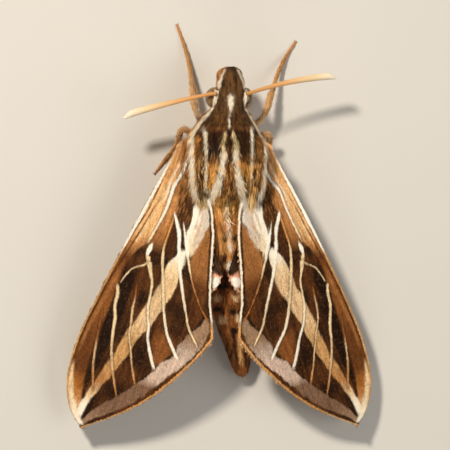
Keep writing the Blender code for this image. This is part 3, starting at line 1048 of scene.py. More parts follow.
@dataclass
class Blades:
    """Many hairs or scales, each a thin tapered blade that starts on a surface.

    Attributes:
        root: Where each starts.
        way: The direction it lies in.
        out: The direction away from the surface.
        length: How long it is.
        width: How wide it is at its widest.
        rise: How far its tip stands off the surface, as a share of its length.
        bend: How far its tip turns aside, as a share of its length.
        roll: How far it is turned about its own length, in radians.
        tint: Its linear colour.
        place: Its root's place on the unwrap.
    """

    root: Array
    way: Array
    out: Array
    length: Array
    width: Array
    rise: Array
    bend: Array
    roll: Array
    tint: Array
    place: Array

    def keep(self, chosen: Array) -> "Blades":
        """Only the chosen blades."""
        return Blades(*(getattr(self, name)[chosen] for name in self.__dataclass_fields__))

    def merged(self, other: "Blades") -> "Blades":
        """These blades and the others as one lot."""
        fields = self.__dataclass_fields__
        return Blades(*(np.concatenate([getattr(self, name), getattr(other, name)]) for name in fields))

    def build(self, name: str, profile: Stations, shade: Stations, finish: Finish) -> Piece:
        """The blades as one mesh.

        Args:
            name: The piece's name.
            profile: (share of the length, share of the width) from root to tip; a last 0 is a point.
            shade: Painted shade and light from root to tip, as (share of the length, brightness).
            finish: What the blades are covered with.

        Returns:
            The object.
        """
        side = unit(np.cross(self.way, self.out))
        tilted = np.cos(self.roll)[:, None] * side + np.sin(self.roll)[:, None] * self.out
        pointed = profile[-1][1] == 0
        # Pale blades get less of the painted root shade and tip light.
        pale = 0.85 * paleness(self.tint)[:, None]
        rows, marks, tints = [], [], []
        for share, width in profile:
            lift = self.rise * self.length * math.sin(share * math.pi / 2)
            aside = self.bend * self.length * share * share
            centre = self.root + self.way * (self.length * share)[:, None]
            centre = centre + self.out * lift[:, None] + side * aside[:, None]
            half = tilted * (self.width * width / 2)[:, None]
            bright = float(through(shade, np.array(share)))
            for turn in (0,) if width == 0 else (-1, 1):
                rows.append(centre + turn * half)
                marks.append(self.place + PATCH * np.array([0.5 * turn, share]))
                tints.append(self.tint * (bright + (1 - bright) * pale))
        points = np.stack(rows, axis=1)
        points[..., 2] = np.maximum(points[..., 2], FLOOR_GAP)
        steps = len(profile) - 1
        faces = []
        for step in range(steps):
            a = 2 * step
            if step == steps - 1 and pointed:
                faces.append((a, a + 1, a + 2))
            else:
                faces += [(a, a + 1, a + 3), (a, a + 3, a + 2)]
        count = points.shape[1]
        index = (np.arange(len(self.root)) * count)[:, None, None] + np.array(faces)[None]
        return add_mesh(name, points.reshape(-1, 3), index.reshape(-1, 3), finish,
                        np.stack(tints, axis=1).reshape(-1, 3), np.stack(marks, axis=1).reshape(-1, 2))


HAIR_PROFILE = ((0.0, 0.55), (0.35, 1.0), (0.72, 0.7), (1.0, 0.0))
SHORT_PROFILE = ((0.0, 0.6), (0.5, 1.0), (1.0, 0.0))
# Painted shade at the roots of hairs, where they lie under their neighbours, and painted light at their
# tips.
HAIR_ROOT_SHADE_TIP_LIGHT = ((0.0, 0.45), (0.4, 0.95), (1.0, 1.25))
SCALE_PROFILE = ((0.0, 0.45), (0.45, 1.0), (1.0, 0.6))
# Painted shade at the roots of scales, under the scales that overlap them, and painted light at their tips.
SCALE_ROOT_SHADE_TIP_LIGHT = ((0.0, 0.8), (0.5, 1.0), (1.0, 1.08))


# ---- trunk


# Half the width of the whole coat seen from above, which the markings below are measured against.
COAT_HALF_WIDTH = ((0.1, 0.95), (0.4, 1.25), (0.84, 1.56), (1.2, 1.64), (1.9, 1.82), (3.3, 2.05), (4.3, 2.2),
    (5.9, 3), (7, 3.85), (8.2, 4.65), (9.4, 5), (11.6, 5.1), (13.6, 4.9), (15.4, 4.5), (17, 4.1))
SIDE_STRIPE = ((0.4, 0.65), (1.9, 1.45), (3.3, 1.77), (4.3, 1.9), (5.9, 2.7), (7, 3.5), (8.2, 4.35),
    (9.4, 4.72), (11.6, 4.82), (13.6, 4.6), (15.4, 4.2), (17, 3.8))
INNER_STRIPE = ((8, 0.52), (8.9, 0.78), (10.4, 0.86), (11.8, 0.95), (13.2, 1.1), (14.6, 1.42), (15.8, 2),
    (16.4, 2.35))
OUTER_STRIPE = ((7.3, 3.15), (8.6, 3), (12, 3), (15, 3.05))

# Markings of the trunk as (back, distance from the middle), the same on both sides.
TRUNK_MARKS = (
    Field(-1, 9, ((4, FUR), (7, BARK)), -1, 7.5, ends=(0.5, 0.7)),
    Field(((0, 0.85), (2, 1.6)), 9, ((0.5, OCHRE), (2.2, SADDLE)), -1, 2.6, ends=(0.5, 1)),
    Line(((7.45, 0), (7.75, 5)), 9, SADDLE, ends=(0.5, 0.3), strength=0.4, jag=1),
    Field(-1, ((7, 3.5), (17, 3.3)), ((8, UMBER), (10, UMBER), (12, SEPIA)), 7.9, 10.9, soft=0.3,
        ends=(0.5, 1), jag=2.4, strength=0.85),
    Field(((7, 0.6), (17, 0.6)), ((7, 3), (17, 3)), ((10.5, UMBER), (11.4, CHESTNUT), (12.2, OCHRE),
        (14, OCHRE), (15.4, WALNUT)), 10.6, 16.4, soft=0.3, ends=(1.6, 1), jag=2.4),
    Field(((7, 0), (17, 0)), ((7, 0.5), (17, 0.8)), ((9, SEPIA), (12, WALNUT), (14, CHESTNUT)), 9.6, 16.4,
        soft=0.2, ends=(1.4, 1), jag=1, strength=0.8),
    Field(((7, 3.75), (17, 3.5)), ((7, 5), (17, 5)), ((8, SADDLE), (10.5, SADDLE), (12.5, WALNUT),
        (15, SEPIA)), 8.4, 16.4, soft=0.3, ends=(0.6, 1), jag=2.6, strength=0.85),
    Field(((15.5, 0.25), (19, 0.3)), ((15.5, 2.3), (19, 2.8)), ((15.8, GOLD), (17.5, GOLD), (20, COPPER)),
        15.8, 20, soft=0.3, ends=(0.6, 1.6), jag=1.5),
    Field(((15.5, 2.5), (18, 2.9)), ((15.5, 3.6), (18, 3.6)), BUFF, 15.6, 18, soft=0.2),
    Line(((3.4, 0), (5, 0.03), (6.2, -0.02), (7.6, 0)), ((3.4, 0.2), (3.9, 0.62), (4.7, 0.6), (5.4, 0.34),
        (6.3, 0.45), (7.6, 0.1)), IVORY, soft=0.2, ends=(0.7, 0.4), jag=1.5),
    Line(SIDE_STRIPE, ((0.4, 0.26), (3.3, 0.36), (8, 0.46), (10, 0.52), (17, 0.6)), IVORY, soft=0.1,
        ends=(0.3, 1), jag=0.4),
    Line(INNER_STRIPE, ((8, 0.3), (9, 0.45), (10.5, 0.6), (12, 0.7), (13.5, 0.85), (15, 0.95), (16.4, 0.8)),
        ((9.5, CREAM), (11, IVORY), (13.5, IVORY)), soft=0.14, ends=(0.4, 0.6), jag=0.9),
    Line(OUTER_STRIPE, ((7.3, 0.26), (9, 0.36), (15, 0.3)), IVORY, soft=0.14, ends=(0.4, 1), jag=0.8),
)


def spot(start: tuple[float, float], stop: tuple[float, float], width: Curve, tint: Tint, soft: float,
         fade: float, strength: float = 1.0) -> Line:
    """A short mark from one place to another, with sides and ends that fade."""
    return Line((start, stop), width, tint, soft=soft, ends=(fade, fade), strength=strength)


# The ragged white tufts down the middle of the abdomen, then its spots and the stripe of the tail.
ABDOMEN_MARKS = (
    Line(((15.8, 0), (22.8, 0)), ((15.8, 0.12), (16.6, 0.3), (17.4, 0.5), (18.2, 0.16), (19.3, 0.55),
        (20.2, 0.2), (20.9, 0.16), (22, 0.5), (22.8, 0.3)), ((17, CREAM), (20, IVORY)), soft=0.14,
        ends=(0.6, 0.5)),
    spot((20.7, 0.7), (21.4, 0.7), 0.6, UMBER, 0.2, 0.3),
    Line(((23, 0.8), (24.4, 1)), 0.8, UMBER, soft=0.2, ends=(0.4, 0.8)),
    spot((23.9, 0), (25.5, 0), ((23.9, 0.7), (24.7, 1.5), (25.5, 0.8)), MILK, 0.15, 0.3),
    spot((24.9, 1.5), (26.9, 1.7), 2, SEPIA, 0.4, 0.6),
    spot((26.9, 0), (27.7, 0), 1, SOOT, 0.3, 0.4),
    spot((26.9, 1.8), (27.4, 2), 2.4, SOOT, 0.3, 0.3),
    spot((28.2, 0), (29, 0), ((28.2, 1), (29, 0.6)), BUFF, 0.2, 0.3),
    spot((28.2, 2), (29, 2.2), 0.8, BUFF, 0.3, 0.4, 0.7),
    spot((29.7, 2.2), (30.3, 2.3), 1, SOOT, 0.25, 0.3),
    spot((30, 0.5), (30.6, 0.5), 0.8, SOOT, 0.25, 0.3),
    spot((30.9, 1.8), (31.8, 1.9), 0.8, BUFF, 0.3, 0.4, 0.8),
    spot((32.3, 0.6), (33, 0.6), 0.9, SOOT, 0.25, 0.3),
    spot((33, 0.7), (37.2, 0.55), ((33, 0.4), (37.2, 0.3)), UMBER, 0.2, 0.8),
    Line(((30.6, 0), (31.6, 0)), ((30.6, 0.3), (31.6, 0.45)), CREAM, soft=0.15, ends=(0.3, 0.4)),
    Line(((33.4, 0), (36.9, 0)), ((33.4, 0.4), (36, 0.6), (36.9, 0.3)), HONEY, soft=0.15, ends=(0.4, 0.8)),
)


@dataclass(frozen=True)
class Coat:
    """A coat of hair over a length of the trunk.

    Attributes:
        span: Where it starts and stops, as back.
        count: How many hairs it has.
        length: Their length, as (back, length).
        width: How wide a hair is.
        rise: Least and most rise of a tip, as a share of its length.
        toss: How far the directions differ.
    """

    span: tuple[float, float]
    count: int
    length: Stations
    width: float
    rise: tuple[float, float]
    toss: float


FACE_COAT = Coat((0.1, 2.2), 14000, ((0.1, 0.34), (2.5, 0.42)), 0.05, rise=(0.16, 0.5), toss=0.34)
CROWN_COAT = Coat((1.8, 5.6), 24000, ((1.8, 0.4), (5.6, 0.7)), 0.055, rise=(0.12, 0.36), toss=0.3)
COLLAR_COAT = Coat((5.2, 10.6), 39500, ((5.2, 0.8), (8.0, 1.0), (14.0, 1.2), (17.5, 1.5)), 0.068,
                   rise=(0.1, 0.28), toss=0.16)
THORAX_COAT = replace(COLLAR_COAT, span=(10.4, 17.6))
ABDOMEN_COAT = Coat((16.6, 38.2), 46000, ((16.6, 1.5), (21.0, 0.9), (30.0, 0.6), (36.0, 0.7), (38.0, 1.0)),
                    0.075, rise=(0.08, 0.26), toss=0.18)
SHOULDER_COAT = Coat((7.6, 17.2), 70000, ((7.6, 0.9), (11.0, 1.5), (17.0, 1.8)), 0.06, rise=(0.0, 0.14),
                     toss=0.1)

CORE = ("head", "collar", "thorax") + tuple(f"abdomen_{n}" for n in range(1, 7))
FLESH = CORE + tuple(side.named(part) for part in ("tegula", "palp") for side in Side)


@dataclass
class Trunk:
    """Head, collar, thorax and abdomen as one skin under a coat of hair.

    Attributes:
        stations: How many rings the skin has.
        turns: How many points a ring has.
        start: Where the skin begins behind the front of the head.
        finish: Where it ends before the tip of the tail.
        coat_depth: How far the skin lies inside the solids, as (back, depth).
    """

    stations: int = 300
    turns: int = 128
    start: float = 0.1
    finish: float = 0.25
    coat_depth: Stations = ((0.0, 0.1), (3.0, 0.16), (6.0, 0.22), (9.0, 0.2), (15.0, 0.2), (19.0, 0.26),
                            (30.0, 0.2), (38.0, 0.12))

    def __post_init__(self) -> None:
        """Measures the solids and lays the skin inside them."""
        points, faces = joined_shape(CORE)
        self.length = points[:, 1].max() - FRONT
        self.back = np.linspace(self.start, self.length - self.finish, self.stations)
        cuts = sections(points, faces, 1, self.back + FRONT, [0, 2])
        self.known = ~np.isnan(cuts[:, 0, 0])
        middle = blur(fill_gaps(cuts).mean(axis=2), 3.0, 0, False)
        self.middle, self.height = middle.T
        self.angle = np.arange(self.turns) * 2 * math.pi / self.turns
        self.points = self.lay_skin()
        self.half_width = np.abs(self.points[..., 0] - self.middle[:, None]).max(axis=1)
        self.way, self.out = self.directions()

    def lay_skin(self) -> Array:
        """Finds the solids' surface all round and pulls it in by the coat's depth.

        Returns:
            A grid of points, rings from front to back.
        """
        tree = tree_of(*joined_shape(FLESH + ("eye_left", "eye_right")))
        radius = np.full((self.stations, self.turns), np.nan)
        far = 14.0
        for i in np.flatnonzero(self.known):
            centre = Vector((self.middle[i], self.back[i] + FRONT, self.height[i]))
            for k, turn in enumerate(self.angle):
                ray = Vector((math.cos(turn), 0.0, math.sin(turn)))
                met = tree.ray_cast(centre + far * ray, -ray, far)
                if met[0] is not None:
                    radius[i, k] = far - met[3]
        radius = fill_gaps(radius)
        radius = blur(blur(radius, 1.6, 1, True), 2.0, 0, False)
        radius = radius - through(self.coat_depth, self.back)[:, None]
        nose = np.sqrt(1 - (1 - np.clip((self.back - self.start + 0.02) / 0.55, 0, 1)) ** 2)
        tail = np.sqrt(1 - (1 - np.clip((self.back[-1] - self.back) / 0.6, 0, 1)) ** 2)
        radius = np.maximum(radius * (nose * tail)[:, None], 0.01)
        ring = np.stack([np.cos(self.angle), np.zeros(self.turns), np.sin(self.angle)], axis=1)
        centre = np.stack([self.middle, self.back + FRONT, self.height], axis=1)
        return centre[:, None] + radius[..., None] * ring[None]

    def directions(self) -> tuple[Array, Array]:
        """The direction tailwards and the direction outwards at each point of the grid."""
        way = unit(np.gradient(self.points, axis=0))
        around = np.roll(self.points, -1, axis=1) - np.roll(self.points, 1, axis=1)
        out = unit(np.cross(way, around))
        ring = self.points - self.points.mean(axis=1, keepdims=True)
        flip = np.sign((out * ring).sum(axis=-1, keepdims=True))
        return way, out * np.where(flip == 0, 1.0, flip)

    def middle_at(self, back: Array) -> Array:
        """Where the middle of the trunk lies, as X."""
        return np.interp(back, self.back, self.middle)

    def tints(self, points: Array, out: Array) -> Array:
        """The colour of skin and coat.

        Args:
            points: Places on the trunk.
            out: The direction outwards at each.

        Returns:
            A row of linear colour for each place.
        """
        back = points[:, 1] - FRONT
        aside = points[:, 0] - self.middle_at(back)
        coat_width = through(COAT_HALF_WIDTH, back) / (np.interp(back, self.back, self.half_width) + 0.12)
        coat_width = np.maximum(coat_width, 1.0)
        on_abdomen = ease((back - 16.5) / 1.5)
        side = np.abs(aside) * (coat_width + (1 - coat_width) * on_abdomen)
        streak = noise(points[:, 0] * 3.2, points[:, 1] * 0.8, 21)
        strand = noise(points[:, 0] * 9.0, points[:, 1] * 1.6, 22)
        wander = 0.3 * (streak - 0.5) + 0.2 * (strand - 0.5)
        ground = tinted(SEPIA.light, GOLD, ease((back - 17.0) / 2.0))
        ground = tinted(ground, CHESTNUT, ease((back - 23.0) / 2.5))
        colour = paint(TRUNK_MARKS + ABDOMEN_MARKS, ground, back, side, wander)
        gold = ease((strand - 0.55) / 0.2) * ease((back - 10.0) / 1.5)
        colour = tinted(colour, AMBER, 0.45 * gold * ease((18.0 - back) / 2.0))
        rim = self.near_eye(points) * ease((side - 1.95) / 0.15) * (back > 2.4)
        colour = tinted(colour, TAN, rim)
        fleck = noise(points[:, 1] * 0.8, points[:, 2] * 3.0, 24)
        soft = tinted(SADDLE.light, BUFF, ease(1.6 * fleck - 0.3))
        flank = ease((0.26 - out[:, 2]) / 0.24) * (1 - on_abdomen)
        colour = colour + flank[:, None] * (soft - colour)
        swirl = np.hypot(side - 1.75, back - 5.9)
        ripple = 0.34 * np.cos(swirl * 16.0) * ease((2.0 - swirl) / 0.6)
        colour = colour * (1 + ripple)[:, None]
        under = tinted(BUFF.light, FAWN, ease((back - 16.0) / 6.0))
        belly = ease((-out[:, 2] - 0.05) / 0.45)
        colour = colour + belly[:, None] * (under - colour)
        clump = noise(points[:, 0] * 4.4, points[:, 1] * 0.75, 23)
        pale = paleness(colour)
        shaggy = run(back, 8.2, 17.6)
        change = (1.2 + 0.5 * shaggy) * (clump - 0.5) + (0.9 + 0.7 * shaggy) * (strand - 0.5) - 0.1 * shaggy
        change = 1 + (1 - 0.65 * pale) * change
        warmth = 1 - (0.2 * shaggy * (1 - pale))[:, None] * np.array([0.2, 0.0, 1.0])
        return (1.06 + 0.14 * pale)[:, None] * colour * warmth * np.clip(change, 0.3, 1.8)[:, None]

    def near_eye(self, points: Array) -> Array:
        """The narrow rim of skin round each eye.

        Args:
            points: Places on the trunk.

        Returns:
            1 on the rim, fading to 0 off it.
        """
        rim = np.zeros(len(points))
        for side in Side:
            low, high = box_of(side.named("eye"))
            away = np.linalg.norm(points - (low + high) / 2, axis=1) - (high - low).max() / 2
            rim = np.maximum(rim, ease((0.42 - away) / 0.3))
        return rim

    def build_skin(self) -> None:
        """Builds the skin as one closed mesh."""
        ends = np.stack([self.points[0].mean(axis=0), self.points[-1].mean(axis=0)])
        points = np.concatenate([self.points.reshape(-1, 3), ends])
        out = np.concatenate([self.out.reshape(-1, 3), self.out[0, :1], self.out[-1, :1]])
        faces = closed_faces(self.stations, self.turns, False)
        # The skin is painted darker than the coat, as shade under the hair.
        skin = add_mesh("trunk_skin", points, faces, SKIN, self.tints(points, out) * 0.6)
        settle(skin, "thorax_hair", *FLESH)

    def hairs(self, rng: Chance, coat: Coat) -> Blades:
        """Hairs spread evenly over a length of the trunk.

        Args:
            rng: Source of chance.
            coat: Where they grow and what they are like.

        Returns:
            The hairs.
        """
        count = coat.count
        size = np.linalg.norm(self.points - self.points.mean(axis=1, keepdims=True), axis=-1).mean(axis=1)
        inside = (self.back >= coat.span[0]) & (self.back <= coat.span[1])
        weight = np.where(inside, size, 0.0)
        steps = np.cumsum(weight) / weight.sum()
        row = np.interp(rng.random(count), steps, np.arange(self.stations))
        column = rng.random(count) * self.turns
        root = between(self.points, row, column)
        out = unit(between(self.out, row, column))
        way = unit(between(self.way, row, column))
        back = root[:, 1] - FRONT
        chance = rng.normal(size=(count, 4))
        side = np.cross(way, out)
        aside = root[:, 0] - self.middle_at(back)
        flare = 0.55 * run(back, 13.2, 16.0) * np.exp(-((np.abs(aside) - 1.5) / 1.2) ** 2)
        flare = (flare - 0.35 * run(back, 17.0, 21.0)) * np.sign(aside * side[:, 0])
        way = unit(way + (coat.toss * chance[:, 0] + flare)[:, None] * side)
        length = through(coat.length, back)
        tint = self.tints(root + 0.35 * way * length[:, None], out)
        bright = np.clip(1 + (0.32 - 0.22 * paleness(tint)[:, None]) * chance[:, 1:2], 0.4, 1.8)
        place = np.stack([column / self.turns % 1.0, back / self.length], axis=1) * (1 - 2 * PATCH) + PATCH
        return Blades(
            root=root - 0.04 * out, way=way, out=out,
            length=length * np.clip(1 + 0.22 * chance[:, 2], 0.5, 1.6),
            width=coat.width * np.clip(1 + 0.25 * chance[:, 3], 0.5, 1.7),
            rise=rng.uniform(*coat.rise, count), bend=0.12 * rng.normal(size=count),
            roll=0.28 * rng.normal(size=count), tint=capped(tint * bright), place=place,
        )

    def build(self, rng: Chance) -> None:
        """Builds the skin and its coats.

        Args:
            rng: Source of chance.
        """
        self.build_skin()
        head = self.over_eyes(self.hairs(rng, FACE_COAT).merged(self.hairs(rng, CROWN_COAT)))
        settle(head.build("head_coat", SHORT_PROFILE, HAIR_ROOT_SHADE_TIP_LIGHT, HEAD_HAIR), "head_hair")
        for name, coat in (("collar_coat", COLLAR_COAT), ("thorax_coat", THORAX_COAT)):
            hairs = self.hairs(rng, coat)
            settle(hairs.build(name, HAIR_PROFILE, HAIR_ROOT_SHADE_TIP_LIGHT, THORAX_HAIR), "thorax_hair")
        abdomen = self.hairs(rng, ABDOMEN_COAT)
        settle(abdomen.build("abdomen_coat", SHORT_PROFILE, HAIR_ROOT_SHADE_TIP_LIGHT, ABDOMEN_HAIR), "abdomen_hair")
        shoulders = self.shoulder_hairs(rng)
        settle(shoulders.build("shoulder_coat", HAIR_PROFILE, HAIR_ROOT_SHADE_TIP_LIGHT, THORAX_HAIR), "thorax_hair")

    def over_eyes(self, lot: Blades) -> Blades:
        """Lays the head's hair over the inner part of each eye and clears it from the rest.

        Args:
            lot: The head's hairs.

        Returns:
            The hairs that stay.
        """
        aside = np.abs(lot.root[:, 0] - self.middle_at(lot.root[:, 1] - FRONT))
        covered = aside < 2.0
        keep = np.ones(len(aside), bool)
        for side in Side:
            low, high = box_of(side.named("eye"))
            away = lot.root - (low + high) / 2
            distance = np.linalg.norm(away, axis=1)
            radius = (high - low).max() / 2
            near = distance < radius + 0.12
            lift = np.where(near & covered, np.maximum(radius + 0.02 - distance, 0.0), 0.0)[:, None]
            outward = away / distance[:, None]
            lot.root = lot.root + lift * outward
            lot.out = np.where(lift > 0, unit(lot.out + outward), lot.out)
            keep &= ~near | covered
        return lot.keep(keep)

    def shoulder_hairs(self, rng: Chance) -> Blades:
        """Long hairs from the flanks, which run straight back over the roots of the wings.

        Args:
            rng: Source of chance.

        Returns:
            The hairs of both sides.
        """
        lots = []
        for side in Side:
            lot = self.hairs(rng, SHOULDER_COAT)
            back = lot.root[:, 1] - FRONT
            aside = side.value * (lot.root[:, 0] - self.middle_at(back))
            turn = np.arctan2(lot.root[:, 2] - np.interp(back, self.back, self.height), aside)
            lot = lot.keep((turn < 0.8) & (turn > np.where(back < 9.8, -0.3, 0.18)))
            straight = np.array([0.06 * side.value, 1.0, -0.05])
            share = ease((lot.root[:, 1] - FRONT - 8.0) / 2.5)[:, None]
            lot.way = unit(lot.way * (1 - share) + straight * share + 0.05 * rng.normal(size=lot.way.shape))
            lots.append(lot)
        return lots[0].merged(lots[1])


# ---- wings


@dataclass
class Wing:
    """A wing: a thin veined membrane, tiled with scales on both faces and fringed at its margins.

    Attributes:
        node: The solid that it replaces.
        sign: 1 on the left side and -1 on the right.
        root_out: How far out its axis starts.
        root_back: How far back it starts.
        sweep: The axis's angle from straight back, in degrees.
        pattern: Its colours and veins.
        slot: Its material slot.
        spacing: How far apart its upper scales are, along and across.
        scale: Length and width of a scale.
        fringe: (along, length) of the fringe at the inner edge of the wing.
        fringe_tints: Its colours along the wing.
        order: Picks its own chance.
        neck: (along, leading edge, trailing edge) of the wing's root, which runs under the thorax's hair.
        apron: (along, inward) of the part of the inner edge that lies under that hair.
        thickness: Of the membrane.
        coat: How deep the scales lie over it.
        stations: How many points the membrane has along.
        columns: How many it has across.
    """

    node: str
    sign: float
    root_out: float
    root_back: float
    sweep: float
    pattern: ForewingPattern | HindwingPattern
    slot: str
    spacing: tuple[float, float]
    scale: tuple[float, float]
    fringe: Stations
    fringe_tints: Stops
    order: int
    neck: tuple[tuple[float, float, float], ...] = ()
    apron: Stations = ()
    thickness: float = 0.12
    coat: float = 0.13
    stations: int = 200
    columns: int = 60

    def __post_init__(self) -> None:
        """Measures the solid's outline and the height of its upper face."""
        points, faces = node_shape(self.node)
        flat = self.to_wing(points)
        self.length = flat[:, 0].max()
        self.along = np.linspace(0.06, self.length - 0.06, 240)
        cuts = fill_gaps(sections(flat, faces, 0, self.along, [1]))[:, 0]
        self.lead, self.trail = cuts[:, 0], cuts[:, 1]
        if self.apron:
            skirt = np.where(self.along > self.apron[0][0], through(self.apron, self.along), -np.inf)
            self.trail = np.where(self.along < self.apron[-1][0], np.maximum(self.trail, skirt), self.trail)
        if self.neck:
            start = np.linspace(self.neck[0][0], -0.02, 14)
            self.along = np.concatenate([start, self.along])
            lead = through(tuple((a, lead) for a, lead, _ in self.neck), start)
            trail = through(tuple((a, trail) for a, _, trail in self.neck), start)
            self.lead = np.concatenate([lead, self.lead])
            self.trail = np.concatenate([trail, self.trail])
        tree = tree_of(points, faces)
        self.share = np.linspace(0.0, 1.0, 25)
        self.top = np.full((len(self.along), len(self.share)), np.nan)
        for i, along in enumerate(self.along):
            for k, share in enumerate(np.clip(self.share, 0.04, 0.96)):
                inward = self.lead[i] + share * (self.trail[i] - self.lead[i])
                place = self.to_row(np.array([along]), np.array([inward]), np.array([30.0]))[0]
                met = tree.ray_cast(Vector(place), Vector((0, 0, -1)))
                if met[0] is not None:
                    self.top[i, k] = met[0][2]
        self.top = blur(fill_gaps(self.top), 2.0, 0, False)

    def to_wing(self, points: Array) -> Array:
        """Turns points of the row frame into wing places.

        Args:
            points: The points.

        Returns:
            A row of along, inward and height for each.
        """
        sweep = math.radians(self.sweep)
        out = points[:, 0] * self.sign - self.root_out
        back = points[:, 1] - FRONT - self.root_back
        along = out * math.sin(sweep) + back * math.cos(sweep)
        inward = back * math.sin(sweep) - out * math.cos(sweep)
        return np.stack([along, inward, points[:, 2]], axis=1)

    def to_row(self, along: Array, inward: Array, height: Array) -> Array:
        """Wing places as points of the row frame."""
        sweep = math.radians(self.sweep)
        out = self.root_out + along * math.sin(sweep) - inward * math.cos(sweep)
        back = self.root_back + along * math.cos(sweep) + inward * math.sin(sweep)
        return np.stack([self.sign * out, back + FRONT, height], axis=1)

    def edges(self, along: Array) -> tuple[Array, Array]:
        """The leading and the trailing edge, as inward."""
        return np.interp(along, self.along, self.lead), np.interp(along, self.along, self.trail)

    def height(self, along: Array, inward: Array) -> Array:
        """Height of the solid's upper face.

        Args:
            along: Places along the wing.
            inward: Places across it.

        Returns:
            The height at each place.
        """
        lead, trail = self.edges(along)
        share = np.clip((inward - lead) / np.maximum(trail - lead, 1e-6), 0, 1) * (len(self.share) - 1)
        row = np.clip(np.interp(along, self.along, np.arange(len(self.along))), 0, len(self.along) - 1.001)
        level = between(self.top, row, share)
        if self.neck:
            level = level - 0.9 * ease(1 - (trail - inward) / 1.0) * ease((4.2 - along) / 1.5)
            level = level - 0.35 * np.clip(-along, 0, None) ** 1.5
        return level

    def surface(self, along: Array, inward: Array, side: WingSide) -> Array:
        """Points on a face of the membrane.

        Args:
            along: Places along the wing.
            inward: Places across it.
            side: Which face.

        Returns:
            The points.
        """
        lead, _ = self.edges(along)
        costa = 0.1 * np.exp(-(((inward - lead) / 0.28) ** 2)) * ease((30.0 - along) / 20.0)
        half = self.thickness / 2 + 0.5 * costa
        middle = self.height(along, inward) - self.coat - self.thickness / 2 - 0.08
        middle = middle + self.pattern.relief(along, inward)
        return self.to_row(along, inward, middle + side.value * half)

    def directions(self, along: Array, inward: Array, slope: Array, side: WingSide) -> tuple[Array, Array]:
        """The way that scales lie, and the direction off the face.

        Args:
            along: Places along the wing.
            inward: Places across it.
            slope: How far inward the way turns for each step along.
            side: Which face.

        Returns:
            Unit vectors of both.
        """
        step = 0.12
        here = self.surface(along, inward, side)
        way = unit(self.surface(along + step, inward + slope * step, side) - here)
        cross = unit(self.surface(along - slope * step, inward + step, side) - here)
        out = unit(np.cross(way, cross))
        return way, out * np.where(out[:, 2:] * side.value < 0, -1.0, 1.0)

    def fan(self, inward: Array) -> Array:
        """How far the veins turn inward at a place."""
        return np.clip(0.06 + 0.095 * inward, -0.12, 0.9)

    def on_unwrap(self, along: Array, inward: Array, side: WingSide) -> Array:
        """Where places of a face lie on the unwrap, the upper face below the other."""
        level = (inward + 5) / 18 * 0.48 + (0.0 if side is WingSide.UPPER else 0.5)
        return np.stack([along / self.length * 0.98 + 0.01, level], axis=1)

    def build_membrane(self) -> None:
        """Builds the closed plate that carries the scales."""
        share = np.linspace(0, 1, self.stations)
        along = self.along[0] + (self.along[-1] - self.along[0]) * np.sin(share * math.pi / 2) ** 1.1
        lead, trail = self.edges(along)
        across = np.linspace(0, 1, self.columns)
        a = np.repeat(along, self.columns)
        b = (lead[:, None] + 0.05 + across[None] * (trail - lead - 0.15)[:, None]).ravel()
        lead_at, trail_at = np.repeat(lead, self.columns), np.repeat(trail, self.columns)
        upper, under = self.surface(a, b, WingSide.UPPER), self.surface(a, b, WingSide.UNDER)
        tints = self.pattern.upper(a, b, b - lead_at, trail_at - b)
        tints = np.concatenate([tints, self.pattern.under(a, b)])
        grid = grid_faces(self.stations, self.columns, False)
        count = len(a)
        rim = np.concatenate([
            np.arange(self.columns),
            np.arange(2, self.stations + 1) * self.columns - 1,
            count - 2 - np.arange(self.columns - 1),
            (self.stations - 2 - np.arange(self.stations - 2)) * self.columns,
        ])
        following = np.roll(rim, -1)
        walls = np.stack([following, rim, rim + count, following + count], axis=1)
        faces = np.concatenate([grid, grid[:, ::-1] + count, walls])
        if self.sign > 0:
            faces = faces[:, ::-1]
        places = np.concatenate([self.on_unwrap(a, b, side) for side in WingSide])
        points = np.concatenate([upper, under])
        # The membrane is painted darker than its scales, as shade in the gaps between them.
        membrane = add_mesh(f"{self.node}_membrane", points, faces, WING_SKIN, tints * 0.8, places)
        settle(membrane, self.slot, self.node)

    def scales(self, rng: Chance, side: WingSide, apart: float, size: float) -> Blades:
        """Overlapping scales over one face.

        Args:
            rng: Source of chance.
            side: Which face.
            apart: How much further apart they are than the wing's spacing.
            size: How much larger they are than the wing's own scale.

        Returns:
            The scales.
        """
        step, aside = apart * self.spacing[0], apart * self.spacing[1]
        rows = np.arange(self.along[0] + 0.05, self.length - 0.1, step)
        columns = np.arange(self.lead.min(), self.trail.max(), aside)
        a, b = (grid.ravel() for grid in np.meshgrid(rows, columns, indexing="ij"))
        a = a + step * rng.uniform(-0.5, 0.5, len(a))
        b = b + aside * rng.uniform(-0.5, 0.5, len(b))
        lead, trail = self.edges(a)
        lead_on, trail_on = self.edges(a + 0.8 * size * self.scale[0])
        inside = (b > np.maximum(lead, lead_on) + 0.02) & (b < np.minimum(trail - 0.05, trail_on + 0.1))
        a, b, lead, trail = a[inside], b[inside], lead[inside], trail[inside]
        count = len(a)
        edge_slope = (self.edges(a + 0.3)[0] - self.edges(a - 0.3)[0]) / 0.6
        by_edge = np.exp(-(((b - lead) / 0.4) ** 2))
        slope = self.fan(b) + (edge_slope + 0.03 - self.fan(b)) * by_edge
        slope = slope + 0.1 * (1 - by_edge) * rng.normal(size=count)
        way, out = self.directions(a, b, slope, side)
        ahead = 0.5 * size * self.scale[0]
        if side is WingSide.UPPER:
            tint = self.pattern.upper(a + ahead, b + slope * ahead, b - lead, trail - b)
        else:
            tint = self.pattern.under(a, b)
        pick = rng.random((count, 1))
        pale = paleness(tint)[:, None]
        tint = tint * np.clip(1 + (0.17 - 0.1 * pale) * rng.normal(size=(count, 1)), 0.6, 1.5)
        tint = np.where(pick < 0.08, tint * (0.72 + 0.2 * pale), tint)
        tint = np.where(pick > 0.92, 0.9 * tint + 0.1 * HONEY.light, tint)
        hairy = ease((6.0 - a) / 4.0) * (bool(self.neck) and side is WingSide.UPPER)
